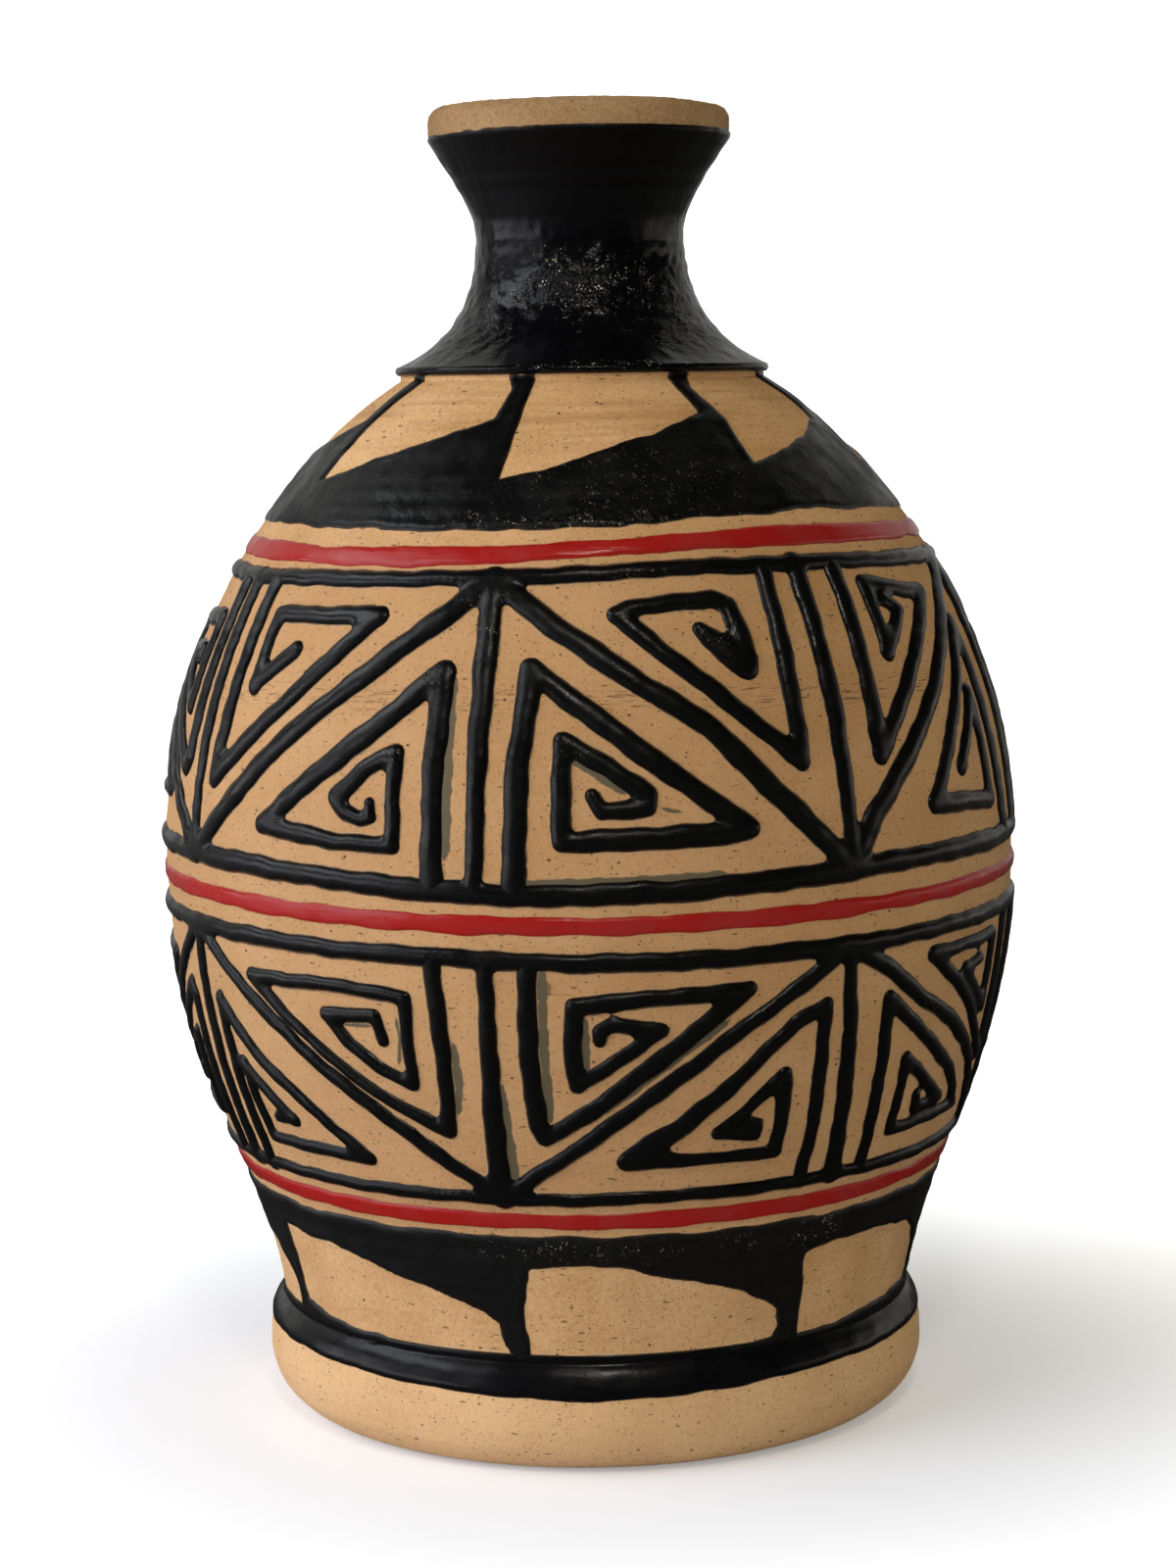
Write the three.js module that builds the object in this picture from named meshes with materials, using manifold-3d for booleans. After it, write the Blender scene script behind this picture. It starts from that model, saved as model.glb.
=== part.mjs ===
// Hand-thrown pottery vase with a banded ornament of trailed glaze.
// Millimetres, +Z up, the middle of the foot's underside at the origin, -Y is the front.
// A place on the pot is given as [angle, height]: degrees round the pot from the front
// towards +X, and millimetres above the foot.

import * as THREE from 'three';
import { mergeVertices } from 'three/addons/utils/BufferGeometryUtils.js';
import Module from 'manifold-3d';

const wasm = await Module();
wasm.setup();

// Driving sizes of the outside
const HEIGHT = 250;
const FOOT_BEAD_RADIUS = 64.3;
const FOOT_BEAD_MIDDLE = 11;
const FOOT_BEAD_HEIGHT = 21;
const WALL_SETBACK = 3.1;
const BELLY_RADIUS = 82.2;
const BELLY_HEIGHT = 109;
const COLLAR_RADIUS = 35;
const COLLAR_START = 198.3;
const COLLAR_HEIGHT = 1.2;
const LEDGE_RADIUS = 35.6;
const LEDGE_HEIGHT = 1.1;
const LEDGE_SETBACK = 0.4;
const WAIST_RADIUS = 19.6;
const WAIST_OVER_LEDGE = 25.4;
const LIP_RADIUS = 28.8;
const LIP_BAND = 3.2;
const LIP_ROUND = 2.6;
const LIP_INNER_ROUND = 1;

// Fullness of the curves between them: lengths of the curve handles
const WALL_LEAN = 4.9;
const WALL_RISE = 31;
const BELLY_BELOW = 43;
const BELLY_ABOVE = 40;
const SHOULDER_OUT = 23;
const SHOULDER_DOWN = 14;
const NECK_FLARE_IN = 6.5;
const NECK_FLARE_UP = 3.1;
const WAIST_BELOW = 17;
const WAIST_ABOVE = 5;
const LIP_IN = 3.3;
const LIP_DOWN = 4.5;

// Clay thicknesses inside
const BODY_WALL = 6;
const FLOOR_THICKNESS = 9;
const UNDERSIDE_RECESS = 3;
const FOOT_RING_WIDTH = 14;
const FOOT_CONTACT_WIDTH = 5.2;
const BODY_MOUTH_RADIUS = 19;
const THROAT_RADIUS = 14;
const LIP_WALL = 6;

// Joins and deposits
const SEAM = 0.3;
const COAT_THICKNESS = 0.7;
const BEAD_RISE = 1.1;
const BLACK_LINE_WIDTH = 3.2;
const RED_LINE_WIDTH = 2.9;
const RED_RISE = 0.6;
const COIL_WIDTH = 3;
const NOSE_LENGTH_SHARE = 0.35;
const NOSE_HALF_WIDTH_SHARE = 0.25;

// Edges of the coats on the neck, the foot and the skirt
const COAT_ON_LIP = 0.6;
const FOOT_COAT_BOTTOM = 15.2;
const FOOT_COAT_UNDER_WALL = 1;
const SKIRT_ABOVE_BEAD = 1;
const SKIRT_COAT_TOP = 46.6;

// Heights of the friezes between the middles of their borders, and the strips of bare clay
// that are left between one band of ornament and the next, from the skirt upwards
const LOWER_FRIEZE_HEIGHT = 44.5;
const UPPER_FRIEZE_HEIGHT = 52.6;
const STRIP_OVER_SKIRT = 1.75;
const STRIP_BESIDE_FRIEZE = 1.35;
const STRIP_UNDER_MIDDLE_RED = 3.55;
const STRIP_OVER_MIDDLE_RED = 3.25;
const STRIP_UNDER_SHOULDER = 2.25;

// Angles of the hand-laid ornament: the zigzag turns at these, up and down in turn
const ZIGZAG_ANGLES = [-62, -13.4, 34.4, 78.3, 122.2, 166.1, 210.1, 254.1];
const SHOULDER_ARM_ANGLES = [-60, -18, 30, 75, 120, 165, 210, 255];

// One coil in its right-angled cell, as shares of the cell: across from the upright line,
// and away from the border that the coil stands on
const COIL_PATH_SHARES = [
  [0.13, 0.71],
  [0.68, 0.15],
  [0.235, 0.155],
  [0.235, 0.48],
  [0.45, 0.265],
  [0.33, 0.265],
];

// Sawtooth windows of bare clay on the shoulder. Their corners stand these angles in from the
// arms beside them; the lower edge climbs, and bows a little off its straight line
const SHOULDER_TOP_ANGLE = 4;
const SHOULDER_LOW_LEFT_ANGLE = 2;
const SHOULDER_LOW_RIGHT_ANGLE = 3;
const SHOULDER_BAND = 8.7;
const SHOULDER_CLIMB = 10;
const SHOULDER_BOW = 0.5;

// Swept windows on the skirt, with an upper edge that runs level and then falls
const SKIRT_SIDE_ANGLE = 2.3;
const SKIRT_LEVEL_ANGLE = 17;
const SKIRT_BAND = 6.2;
const SKIRT_FALL = 13.4;
const SKIRT_TURN_DOWN = 6;

// How far in and out the blocks reach that cut the windows, as shares of the pot's radius
const CUT_INSIDE_SHARE = 0.8;
const CUT_OUTSIDE_SHARE = 1.25;

// Fineness of the facets
const LATHE_SIDES = 36;
const RING_STEPS = 48;
const CURVED_EDGE_STEPS = 6;
const BODY_CURVE_STEPS = 8;
const BODY_INSIDE_STEPS = 5;
const NECK_CURVE_STEPS = 5;
const LIP_CURVE_STEPS = 3;
const THROAT_CURVE_STEPS = 4;
const FOOT_CURVE_STEPS = 4;
const MEASURED_CURVE_STEPS = 200;
const STROKE_PIECE_LENGTH = 12;
const COAT_PIECE_HEIGHT = 7;
const FOOT_COAT_PIECE_HEIGHT = 3;
const SLOPE_SPAN = 1;

const CLAY = { color: 0xc79a68, roughness: 0.82, metalness: 0 };
const BLACK_GLAZE = { color: 0x121315, roughness: 0.22, metalness: 0 };
const RED_GLAZE = { color: 0x8e1a1c, roughness: 0.2, metalness: 0 };

const FOOT_BORE_RADIUS = FOOT_BEAD_RADIUS - FOOT_RING_WIDTH;
const FOOT_CONTACT_RADIUS = FOOT_BORE_RADIUS + FOOT_CONTACT_WIDTH;
const BASE_RADIUS = FOOT_BORE_RADIUS - SEAM;
const WALL_START_RADIUS = FOOT_BEAD_RADIUS - WALL_SETBACK;
const LEDGE_BOTTOM = COLLAR_START + COLLAR_HEIGHT;
const LEDGE_TOP = LEDGE_BOTTOM + LEDGE_HEIGHT;
const WAIST_HEIGHT = LEDGE_TOP + WAIST_OVER_LEDGE;
const NECK_START_RADIUS = LEDGE_RADIUS - LEDGE_SETBACK;
const LIP_BOTTOM = HEIGHT - LIP_BAND - LIP_ROUND;

const HALF_LINES = (RED_LINE_WIDTH + BLACK_LINE_WIDTH) / 2;
const RED_LOWER = SKIRT_COAT_TOP + STRIP_OVER_SKIRT + RED_LINE_WIDTH / 2;
const LOWER_FRIEZE = friezeFrom(RED_LOWER + HALF_LINES + STRIP_BESIDE_FRIEZE, LOWER_FRIEZE_HEIGHT);
const RED_MIDDLE = LOWER_FRIEZE.top + HALF_LINES + STRIP_UNDER_MIDDLE_RED;
const UPPER_FRIEZE = friezeFrom(RED_MIDDLE + HALF_LINES + STRIP_OVER_MIDDLE_RED,
  UPPER_FRIEZE_HEIGHT);
const RED_UPPER = UPPER_FRIEZE.top + HALF_LINES + STRIP_BESIDE_FRIEZE;
const SHOULDER_COAT_BOTTOM = RED_UPPER + RED_LINE_WIDTH / 2 + STRIP_UNDER_SHOULDER;

function friezeFrom(bottom, height) {
  return { bottom, top: bottom + height };
}

// Points of a cubic curve in the [radius, height] plane, without its first point
function curve(from, handleA, handleB, to, steps) {
  const path = new THREE.CubicBezierCurve(
    new THREE.Vector2(...from),
    new THREE.Vector2(...handleA),
    new THREE.Vector2(...handleB),
    new THREE.Vector2(...to),
  );
  return path.getPoints(steps).slice(1).map((p) => [p.x, p.y]);
}

function footProfile(steps) {
  const bead = [FOOT_BEAD_RADIUS, FOOT_BEAD_MIDDLE];
  const upper = (FOOT_BEAD_HEIGHT - FOOT_BEAD_MIDDLE) / 2;
  const lower = FOOT_BEAD_MIDDLE / 2;
  return [
    [FOOT_CONTACT_RADIUS, 0],
    ...curve([FOOT_CONTACT_RADIUS, 0],
      [(FOOT_CONTACT_RADIUS + 2 * FOOT_BEAD_RADIUS) / 3, lower / 5],
      [FOOT_BEAD_RADIUS, lower], bead, steps),
    ...curve(bead, [FOOT_BEAD_RADIUS, FOOT_BEAD_MIDDLE + upper],
      [(2 * FOOT_BEAD_RADIUS + WALL_START_RADIUS) / 3, FOOT_BEAD_HEIGHT - upper / 3],
      [WALL_START_RADIUS, FOOT_BEAD_HEIGHT], steps),
  ];
}

function bodyProfile(steps) {
  const belly = [BELLY_RADIUS, BELLY_HEIGHT];
  const start = [WALL_START_RADIUS, FOOT_BEAD_HEIGHT + SEAM];
  const end = [COLLAR_RADIUS, COLLAR_START];
  return [
    start,
    ...curve(start, [start[0] + WALL_LEAN, start[1] + WALL_RISE],
      [BELLY_RADIUS, BELLY_HEIGHT - BELLY_BELOW], belly, steps),
    ...curve(belly, [BELLY_RADIUS, BELLY_HEIGHT + BELLY_ABOVE],
      [end[0] + SHOULDER_OUT, end[1] - SHOULDER_DOWN], end, steps),
  ];
}

function neckProfile(steps) {
  const start = [NECK_START_RADIUS, LEDGE_TOP];
  const waist = [WAIST_RADIUS, WAIST_HEIGHT];
  const lip = [LIP_RADIUS, LIP_BOTTOM];
  return [
    start,
    ...curve(start, [start[0] - NECK_FLARE_IN, start[1] + NECK_FLARE_UP],
      [WAIST_RADIUS, WAIST_HEIGHT - WAIST_BELOW], waist, steps),
    ...curve(waist, [WAIST_RADIUS, WAIST_HEIGHT + WAIST_ABOVE],
      [LIP_RADIUS - LIP_IN, LIP_BOTTOM - LIP_DOWN], lip, LIP_CURVE_STEPS),
  ];
}

const OUTSIDE = [footProfile, bodyProfile, neckProfile].flatMap((profile) => (
  profile(MEASURED_CURVE_STEPS)));

// Radius of the clay's outside at a height, and how fast it grows with height
function outerRadius(z) {
  let i = 1;
  while (i < OUTSIDE.length - 1 && OUTSIDE[i][1] < z) i += 1;
  const [r0, z0] = OUTSIDE[i - 1];
  const [r1, z1] = OUTSIDE[i];
  return r0 + (r1 - r0) * ((z - z0) / (z1 - z0 || 1));
}

function outerSlope(z) {
  return (outerRadius(z + SLOPE_SPAN / 2) - outerRadius(z - SLOPE_SPAN / 2)) / SLOPE_SPAN;
}

// Moves each point of a [radius, height] line outwards along its normal
function offsetLine(line, distance) {
  return line.map((point, i) => {
    const before = line[Math.max(i - 1, 0)];
    const after = line[Math.min(i + 1, line.length - 1)];
    const along = [after[0] - before[0], after[1] - before[1]];
    const length = Math.hypot(...along);
    return [point[0] + (along[1] / length) * distance, point[1] - (along[0] / length) * distance];
  });
}

// The outside between two heights, in pieces of about one height
function outsideBetween(low, high, pieceHeight) {
  const count = Math.max(1, Math.ceil((high - low) / pieceHeight));
  return Array.from({ length: count + 1 }, (_, i) => {
    const z = low + ((high - low) * i) / count;
    return [outerRadius(z), z];
  });
}

// A closed [radius, height] outline turned round the axis
function turned(outline) {
  const points = [...outline, outline[0]].map(([r, z]) => new THREE.Vector2(r, z));
  const geometry = new THREE.LatheGeometry(points, LATHE_SIDES);
  geometry.rotateX(Math.PI / 2);
  return closedGeometry(geometry);
}

// Merges shared corners and turns the faces outwards
function closedGeometry(geometry) {
  geometry.deleteAttribute('normal');
  geometry.deleteAttribute('uv');
  const merged = mergeVertices(geometry, 1e-4);
  const { array } = merged.getAttribute('position');
  const index = Array.from(merged.index.array);
  const corners = [];
  let volume = 0;
  for (let i = 0; i < index.length; i += 3) {
    const [a, b, c] = [index[i], index[i + 1], index[i + 2]];
    if (a === b || b === c || a === c) continue;
    corners.push(a, b, c);
    const [p, q, s] = [a, b, c].map((k) => new THREE.Vector3().fromArray(array, 3 * k));
    volume += p.dot(q.cross(s));
  }
  if (volume < 0) {
    for (let i = 0; i < corners.length; i += 3) {
      [corners[i + 1], corners[i + 2]] = [corners[i + 2], corners[i + 1]];
    }
  }
  merged.setIndex(corners);
  return merged;
}

function toSolid(geometry) {
  return new wasm.Manifold(new wasm.Mesh({
    numProp: 3,
    vertProperties: Float32Array.from(geometry.getAttribute('position').array),
    triVerts: Uint32Array.from(geometry.index.array),
  }));
}

function toGeometry(solid) {
  const mesh = solid.getMesh();
  const geometry = new THREE.BufferGeometry();
  geometry.setAttribute('position', new THREE.BufferAttribute(mesh.vertProperties, 3));
  geometry.setIndex(Array.from(mesh.triVerts));
  return closedGeometry(geometry);
}

// A point that stands off the outside of the pot by a distance
function offPot(angle, z, distance) {
  const slope = outerSlope(z);
  const length = Math.hypot(1, slope);
  const r = outerRadius(z) + distance / length;
  const turn = THREE.MathUtils.degToRad(angle);
  return [r * Math.sin(turn), -r * Math.cos(turn), z - (distance * slope) / length];
}

// Adds points so that no piece of a path is longer than STROKE_PIECE_LENGTH
function refined(path) {
  const points = [path[0]];
  for (let i = 1; i < path.length; i += 1) {
    const [a0, z0] = path[i - 1];
    const [a1, z1] = path[i];
    const round = THREE.MathUtils.degToRad(a1 - a0) * outerRadius((z0 + z1) / 2);
    const count = Math.ceil(Math.hypot(round, z1 - z0) / STROKE_PIECE_LENGTH);
    for (let k = 1; k <= count; k += 1) {
      points.push([a0 + ((a1 - a0) * k) / count, z0 + ((z1 - z0) * k) / count]);
    }
  }
  return points;
}

// Direction of a step on the surface, the short way round: share round the pot and up the wall
function surfaceStep([a0, z0], [a1, z1]) {
  const z = (z0 + z1) / 2;
  const turn = THREE.MathUtils.euclideanModulo(a1 - a0 + 180, 360) - 180;
  const round = THREE.MathUtils.degToRad(turn) * outerRadius(z);
  const up = (z1 - z0) * Math.hypot(1, outerSlope(z));
  const length = Math.hypot(round, up);
  return [round / length, up / length];
}

// A place moved over the surface by millimetres round the pot and up the wall
function movedOver([angle, z], round, up) {
  const turn = THREE.MathUtils.radToDeg(round / outerRadius(z));
  return [angle + turn, z + up / Math.hypot(1, outerSlope(z))];
}

// A ridge of glaze along a path of [angle, height] places, with mitred corners
// and a tapered nose at each open end
function ridge(path, width, rise, ring) {
  const places = ring ? path : refined(path);
  const last = places.length - 1;
  const stations = places.map((place, i) => {
    const before = ring ? places[(i + last) % places.length] : places[Math.max(i - 1, 0)];
    const after = ring ? places[(i + 1) % places.length] : places[Math.min(i + 1, last)];
    const come = i > 0 || ring ? surfaceStep(before, place) : surfaceStep(place, after);
    const go = i < last || ring ? surfaceStep(place, after) : come;
    const normal = [-(come[1] + go[1]), come[0] + go[0]];
    const size = Math.hypot(...normal);
    const mitre = 2 / size;
    return { place, side: [normal[0] / size, normal[1] / size], half: (width / 2) * mitre };
  });
  if (!ring) {
    const nose = width * NOSE_LENGTH_SHARE;
    for (const [end, next] of [[0, 1], [stations.length - 1, stations.length - 2]]) {
      const [round, up] = surfaceStep(places[Math.min(next, last)], places[Math.min(end, last)]);
      const tip = { ...stations[end], half: width * NOSE_HALF_WIDTH_SHARE };
      tip.place = movedOver(places[Math.min(end, last)], round * nose, up * nose);
      if (end === 0) stations.unshift(tip);
      else stations.push(tip);
    }
  }
  const corners = [];
  for (const { place, side, half } of stations) {
    const left = movedOver(place, side[0] * half, side[1] * half);
    const right = movedOver(place, -side[0] * half, -side[1] * half);
    corners.push(...offPot(...left, SEAM), ...offPot(...right, SEAM));
    corners.push(...offPot(...place, SEAM + rise));
  }
  const faces = [];
  const pairs = ring ? stations.length : stations.length - 1;
  for (let i = 0; i < pairs; i += 1) {
    const here = 3 * i;
    const there = 3 * ((i + 1) % stations.length);
    for (let k = 0; k < 3; k += 1) {
      const next = (k + 1) % 3;
      faces.push(here + k, there + k, there + next, here + k, there + next, here + next);
    }
  }
  if (!ring) {
    const end = 3 * (stations.length - 1);
    faces.push(0, 1, 2, end, end + 2, end + 1);
  }
  const geometry = new THREE.BufferGeometry();
  geometry.setAttribute('position', new THREE.BufferAttribute(Float32Array.from(corners), 3));
  geometry.setIndex(faces);
  return closedGeometry(geometry);
}

function ringAt(z, width, rise) {
  const path = Array.from({ length: RING_STEPS }, (_, i) => [(360 * i) / RING_STEPS, z]);
  return ridge(path, width, rise, true);
}

// A block that cuts a window through a coat: an [angle, height] outline drawn inside the
// wall and again far enough outside it that its straight edges clear the coat
function windowCutter(outline) {
  const flat = outline.map(([angle, z]) => new THREE.Vector2(angle, z));
  if (THREE.ShapeUtils.isClockWise(flat)) flat.reverse();
  const count = flat.length;
  const corners = [];
  for (const reach of [CUT_INSIDE_SHARE, CUT_OUTSIDE_SHARE]) {
    for (const { x, y } of flat) {
      const turn = THREE.MathUtils.degToRad(x);
      const r = outerRadius(y) * reach;
      corners.push(r * Math.sin(turn), -r * Math.cos(turn), y);
    }
  }
  const faces = [];
  for (const [a, b, c] of THREE.ShapeUtils.triangulateShape(flat, [])) {
    faces.push(a, b, c, count + a, count + c, count + b);
  }
  for (let i = 0; i < count; i += 1) {
    const next = (i + 1) % count;
    faces.push(i, count + i, count + next, i, count + next, next);
  }
  const geometry = new THREE.BufferGeometry();
  geometry.setAttribute('position', new THREE.BufferAttribute(Float32Array.from(corners), 3));
  geometry.setIndex(faces);
  return closedGeometry(geometry);
}

// A coat of glaze over the clay between two heights
function coat(low, high, pieceHeight) {
  const line = outsideBetween(low, high, pieceHeight);
  return turned([...offsetLine(line, SEAM), ...offsetLine(line, SEAM + COAT_THICKNESS).reverse()]);
}

function nextAngle(angles, i) {
  return i + 1 < angles.length ? angles[i + 1] : angles[0] + 360;
}

// The belly: floor, wall and shoulder, thrown in one, with a rebate for the foot ring
function clayBody() {
  const outer = bodyProfile(BODY_CURVE_STEPS);
  const innerFull = offsetLine(bodyProfile(BODY_INSIDE_STEPS), -BODY_WALL);
  const floor = UNDERSIDE_RECESS + FLOOR_THICKNESS;
  const shoulder = COLLAR_START - BODY_WALL;
  const inner = innerFull.filter(([r, z]) => z > FOOT_BEAD_HEIGHT + BODY_WALL && r > BODY_MOUTH_RADIUS
    && z < shoulder - BODY_WALL / 2);
  return turned([
    [0, UNDERSIDE_RECESS],
    [BASE_RADIUS, UNDERSIDE_RECESS],
    [BASE_RADIUS, FOOT_BEAD_HEIGHT + SEAM],
    ...outer,
    [COLLAR_RADIUS, LEDGE_BOTTOM],
    [BODY_MOUTH_RADIUS, LEDGE_BOTTOM],
    [BODY_MOUTH_RADIUS, shoulder + BODY_WALL / 3],
    ...inner.reverse(),
    [BASE_RADIUS - BODY_WALL, floor],
    [0, floor],
  ]);
}

// The neck, thrown by itself and set on the collar, with its flared lip
function clayNeck() {
  const start = LEDGE_BOTTOM + SEAM;
  const outer = neckProfile(NECK_CURVE_STEPS);
  const mouth = LIP_RADIUS - LIP_WALL;
  const lipTop = curve([LIP_RADIUS, HEIGHT - LIP_ROUND], [LIP_RADIUS, HEIGHT - LIP_ROUND / 2],
    [LIP_RADIUS - LIP_ROUND / 2, HEIGHT], [LIP_RADIUS - LIP_ROUND, HEIGHT], LIP_CURVE_STEPS);
  return turned([
    [THROAT_RADIUS, start],
    [LEDGE_RADIUS, start],
    [LEDGE_RADIUS, LEDGE_TOP],
    ...outer,
    [LIP_RADIUS, HEIGHT - LIP_ROUND],
    ...lipTop,
    [mouth + LIP_INNER_ROUND, HEIGHT],
    [mouth, HEIGHT - LIP_INNER_ROUND],
    ...curve([mouth, LIP_BOTTOM], [mouth - LIP_IN, LIP_BOTTOM - LIP_DOWN],
      [THROAT_RADIUS, WAIST_HEIGHT + WAIST_ABOVE], [THROAT_RADIUS, WAIST_HEIGHT],
      THROAT_CURVE_STEPS),
  ]);
}

// The thick rounded foot, luted round the base, with its level underside
function clayFootRing() {
  return turned([
    [FOOT_BORE_RADIUS, 0],
    ...footProfile(FOOT_CURVE_STEPS),
    [FOOT_BORE_RADIUS, FOOT_BEAD_HEIGHT],
  ]);
}

// The black coat over the neck, from the ledge to just under the lip
function neckGlaze() {
  const line = [...neckProfile(NECK_CURVE_STEPS), [LIP_RADIUS, LIP_BOTTOM + COAT_ON_LIP]];
  return turned([...offsetLine(line, SEAM), ...offsetLine(line, SEAM + COAT_THICKNESS).reverse()]);
}

// A coat with a window cut between each pair of neighbouring angles
function coatWithWindows(field, angles, outlineBetween) {
  const cutters = angles.map((left, i) => (
    toSolid(windowCutter(outlineBetween(left, nextAngle(angles, i))))));
  return toGeometry(cutters.reduce((solid, cutter) => solid.subtract(cutter), toSolid(field)));
}

// The black shoulder field with its sawtooth windows, and arms that rise to the collar
function shoulderGlaze() {
  const low = SHOULDER_COAT_BOTTOM + SHOULDER_BAND;
  const high = low + SHOULDER_CLIMB;
  const field = coat(SHOULDER_COAT_BOTTOM, COLLAR_START - SEAM, COAT_PIECE_HEIGHT);
  return coatWithWindows(field, SHOULDER_ARM_ANGLES, (left, right) => {
    const from = [left + SHOULDER_LOW_LEFT_ANGLE, low];
    const to = [right - SHOULDER_LOW_RIGHT_ANGLE, high];
    const third = (to[0] - from[0]) / 3;
    return [
      [left + SHOULDER_TOP_ANGLE, HEIGHT],
      [left + SHOULDER_TOP_ANGLE, COLLAR_START],
      from,
      ...curve(from, [from[0] + third, (2 * low + high) / 3 - SHOULDER_BOW],
        [to[0] - third, (low + 2 * high) / 3 - SHOULDER_BOW], to, CURVED_EDGE_STEPS),
      [right - SHOULDER_TOP_ANGLE, COLLAR_START],
      [right - SHOULDER_TOP_ANGLE, HEIGHT],
    ];
  });
}

// The black skirt band with arms that run down to the foot between swept windows
function skirtGlaze() {
  const top = SKIRT_COAT_TOP - SKIRT_BAND;
  const low = top - SKIRT_FALL;
  const field = coat(FOOT_BEAD_HEIGHT + SKIRT_ABOVE_BEAD, SKIRT_COAT_TOP, COAT_PIECE_HEIGHT);
  return coatWithWindows(field, ZIGZAG_ANGLES, (left, right) => {
    const from = [left + SKIRT_SIDE_ANGLE, top];
    const to = [right - SKIRT_SIDE_ANGLE, low];
    return [
      [from[0], 0],
      from,
      ...curve(from, [from[0] + SKIRT_LEVEL_ANGLE, top], [to[0], low + SKIRT_TURN_DOWN], to,
        CURVED_EDGE_STEPS),
      [to[0], 0],
    ];
  });
}

// The black band on the upper slope of the foot
function footGlaze() {
  const top = FOOT_BEAD_HEIGHT - FOOT_COAT_UNDER_WALL;
  return coat(FOOT_COAT_BOTTOM, top, FOOT_COAT_PIECE_HEIGHT);
}

// The two borders, the uprights and the zigzag of a frieze, which flow into each other
function friezeLines(frieze, turnsUpFirst) {
  const rings = [frieze.top, frieze.bottom].map((z) => ringAt(z, BLACK_LINE_WIDTH, BEAD_RISE));
  const uprights = ZIGZAG_ANGLES.map((angle) => (
    ridge([[angle, frieze.bottom], [angle, frieze.top]], BLACK_LINE_WIDTH, BEAD_RISE)));
  const slants = ZIGZAG_ANGLES.map((angle, i) => {
    const rising = (i % 2 === 0) === turnsUpFirst;
    const from = rising ? frieze.bottom : frieze.top;
    const to = rising ? frieze.top : frieze.bottom;
    return ridge([[angle, from], [nextAngle(ZIGZAG_ANGLES, i), to]], BLACK_LINE_WIDTH, BEAD_RISE);
  });
  const solids = [...rings, ...uprights, ...slants].map(toSolid);
  return toGeometry(solids.reduce((sum, solid) => sum.add(solid)));
}

// A coil of trailed glaze in the cell between two turns of the zigzag
function coil(frieze, standAngle, farAngle, standsOnTop) {
  const base = standsOnTop ? frieze.top : frieze.bottom;
  const height = (standsOnTop ? -1 : 1) * (frieze.top - frieze.bottom);
  const width = farAngle - standAngle;
  const place = ([across, away]) => [standAngle + across * width, base + away * height];
  const clear = BLACK_LINE_WIDTH / 2 + SEAM + COIL_WIDTH * NOSE_LENGTH_SHARE + SEAM;
  const foot = [place(COIL_PATH_SHARES[0])[0], base + Math.sign(height) * clear];
  return ridge([foot, ...COIL_PATH_SHARES.map(place)], COIL_WIDTH, BEAD_RISE, false);
}

const vase = new THREE.Group();

function addPiece(name, geometry, look) {
  const piece = new THREE.Mesh(geometry, new THREE.MeshStandardMaterial(look));
  piece.name = name;
  vase.add(piece);
}

addPiece('clay_body', clayBody(), CLAY);
addPiece('clay_neck', clayNeck(), CLAY);
addPiece('clay_foot_ring', clayFootRing(), CLAY);
addPiece('neck_glaze', neckGlaze(), BLACK_GLAZE);
addPiece('shoulder_glaze', shoulderGlaze(), BLACK_GLAZE);
addPiece('skirt_glaze', skirtGlaze(), BLACK_GLAZE);
addPiece('foot_glaze', footGlaze(), BLACK_GLAZE);
addPiece('red_line_upper', ringAt(RED_UPPER, RED_LINE_WIDTH, RED_RISE), RED_GLAZE);
addPiece('red_line_middle', ringAt(RED_MIDDLE, RED_LINE_WIDTH, RED_RISE), RED_GLAZE);
addPiece('red_line_lower', ringAt(RED_LOWER, RED_LINE_WIDTH, RED_RISE), RED_GLAZE);

for (const [name, frieze, firstTurnIsLow] of [
  ['upper', UPPER_FRIEZE, true],
  ['lower', LOWER_FRIEZE, false],
]) {
  addPiece(`${name}_frieze_lines`, friezeLines(frieze, firstTurnIsLow), BLACK_GLAZE);
  ZIGZAG_ANGLES.forEach((angle, i) => {
    const next = nextAngle(ZIGZAG_ANGLES, i);
    const low = (i % 2 === 0) === firstTurnIsLow;
    const number = String(i + 1);
    addPiece(`${name}_coil_${number}a`, coil(frieze, angle, next, low), BLACK_GLAZE);
    addPiece(`${name}_coil_${number}b`, coil(frieze, next, angle, !low), BLACK_GLAZE);
  });
}

export default vase;
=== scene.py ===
"""Looks of a hand-thrown pottery vase with trailed glaze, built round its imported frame.

A place on the pot is (angle, height): degrees round the pot from the front towards +X, and
millimetres above the foot, on the outside of the clay. Lift is the distance off the clay.
Sizes are in millimetres and the meshes in metres.
"""

import logging
import math
from collections.abc import Sequence
from dataclasses import dataclass, field
from enum import Enum
from functools import cached_property, lru_cache

import bmesh
import bpy
import numpy as np
from mathutils import Matrix, Vector

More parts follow.
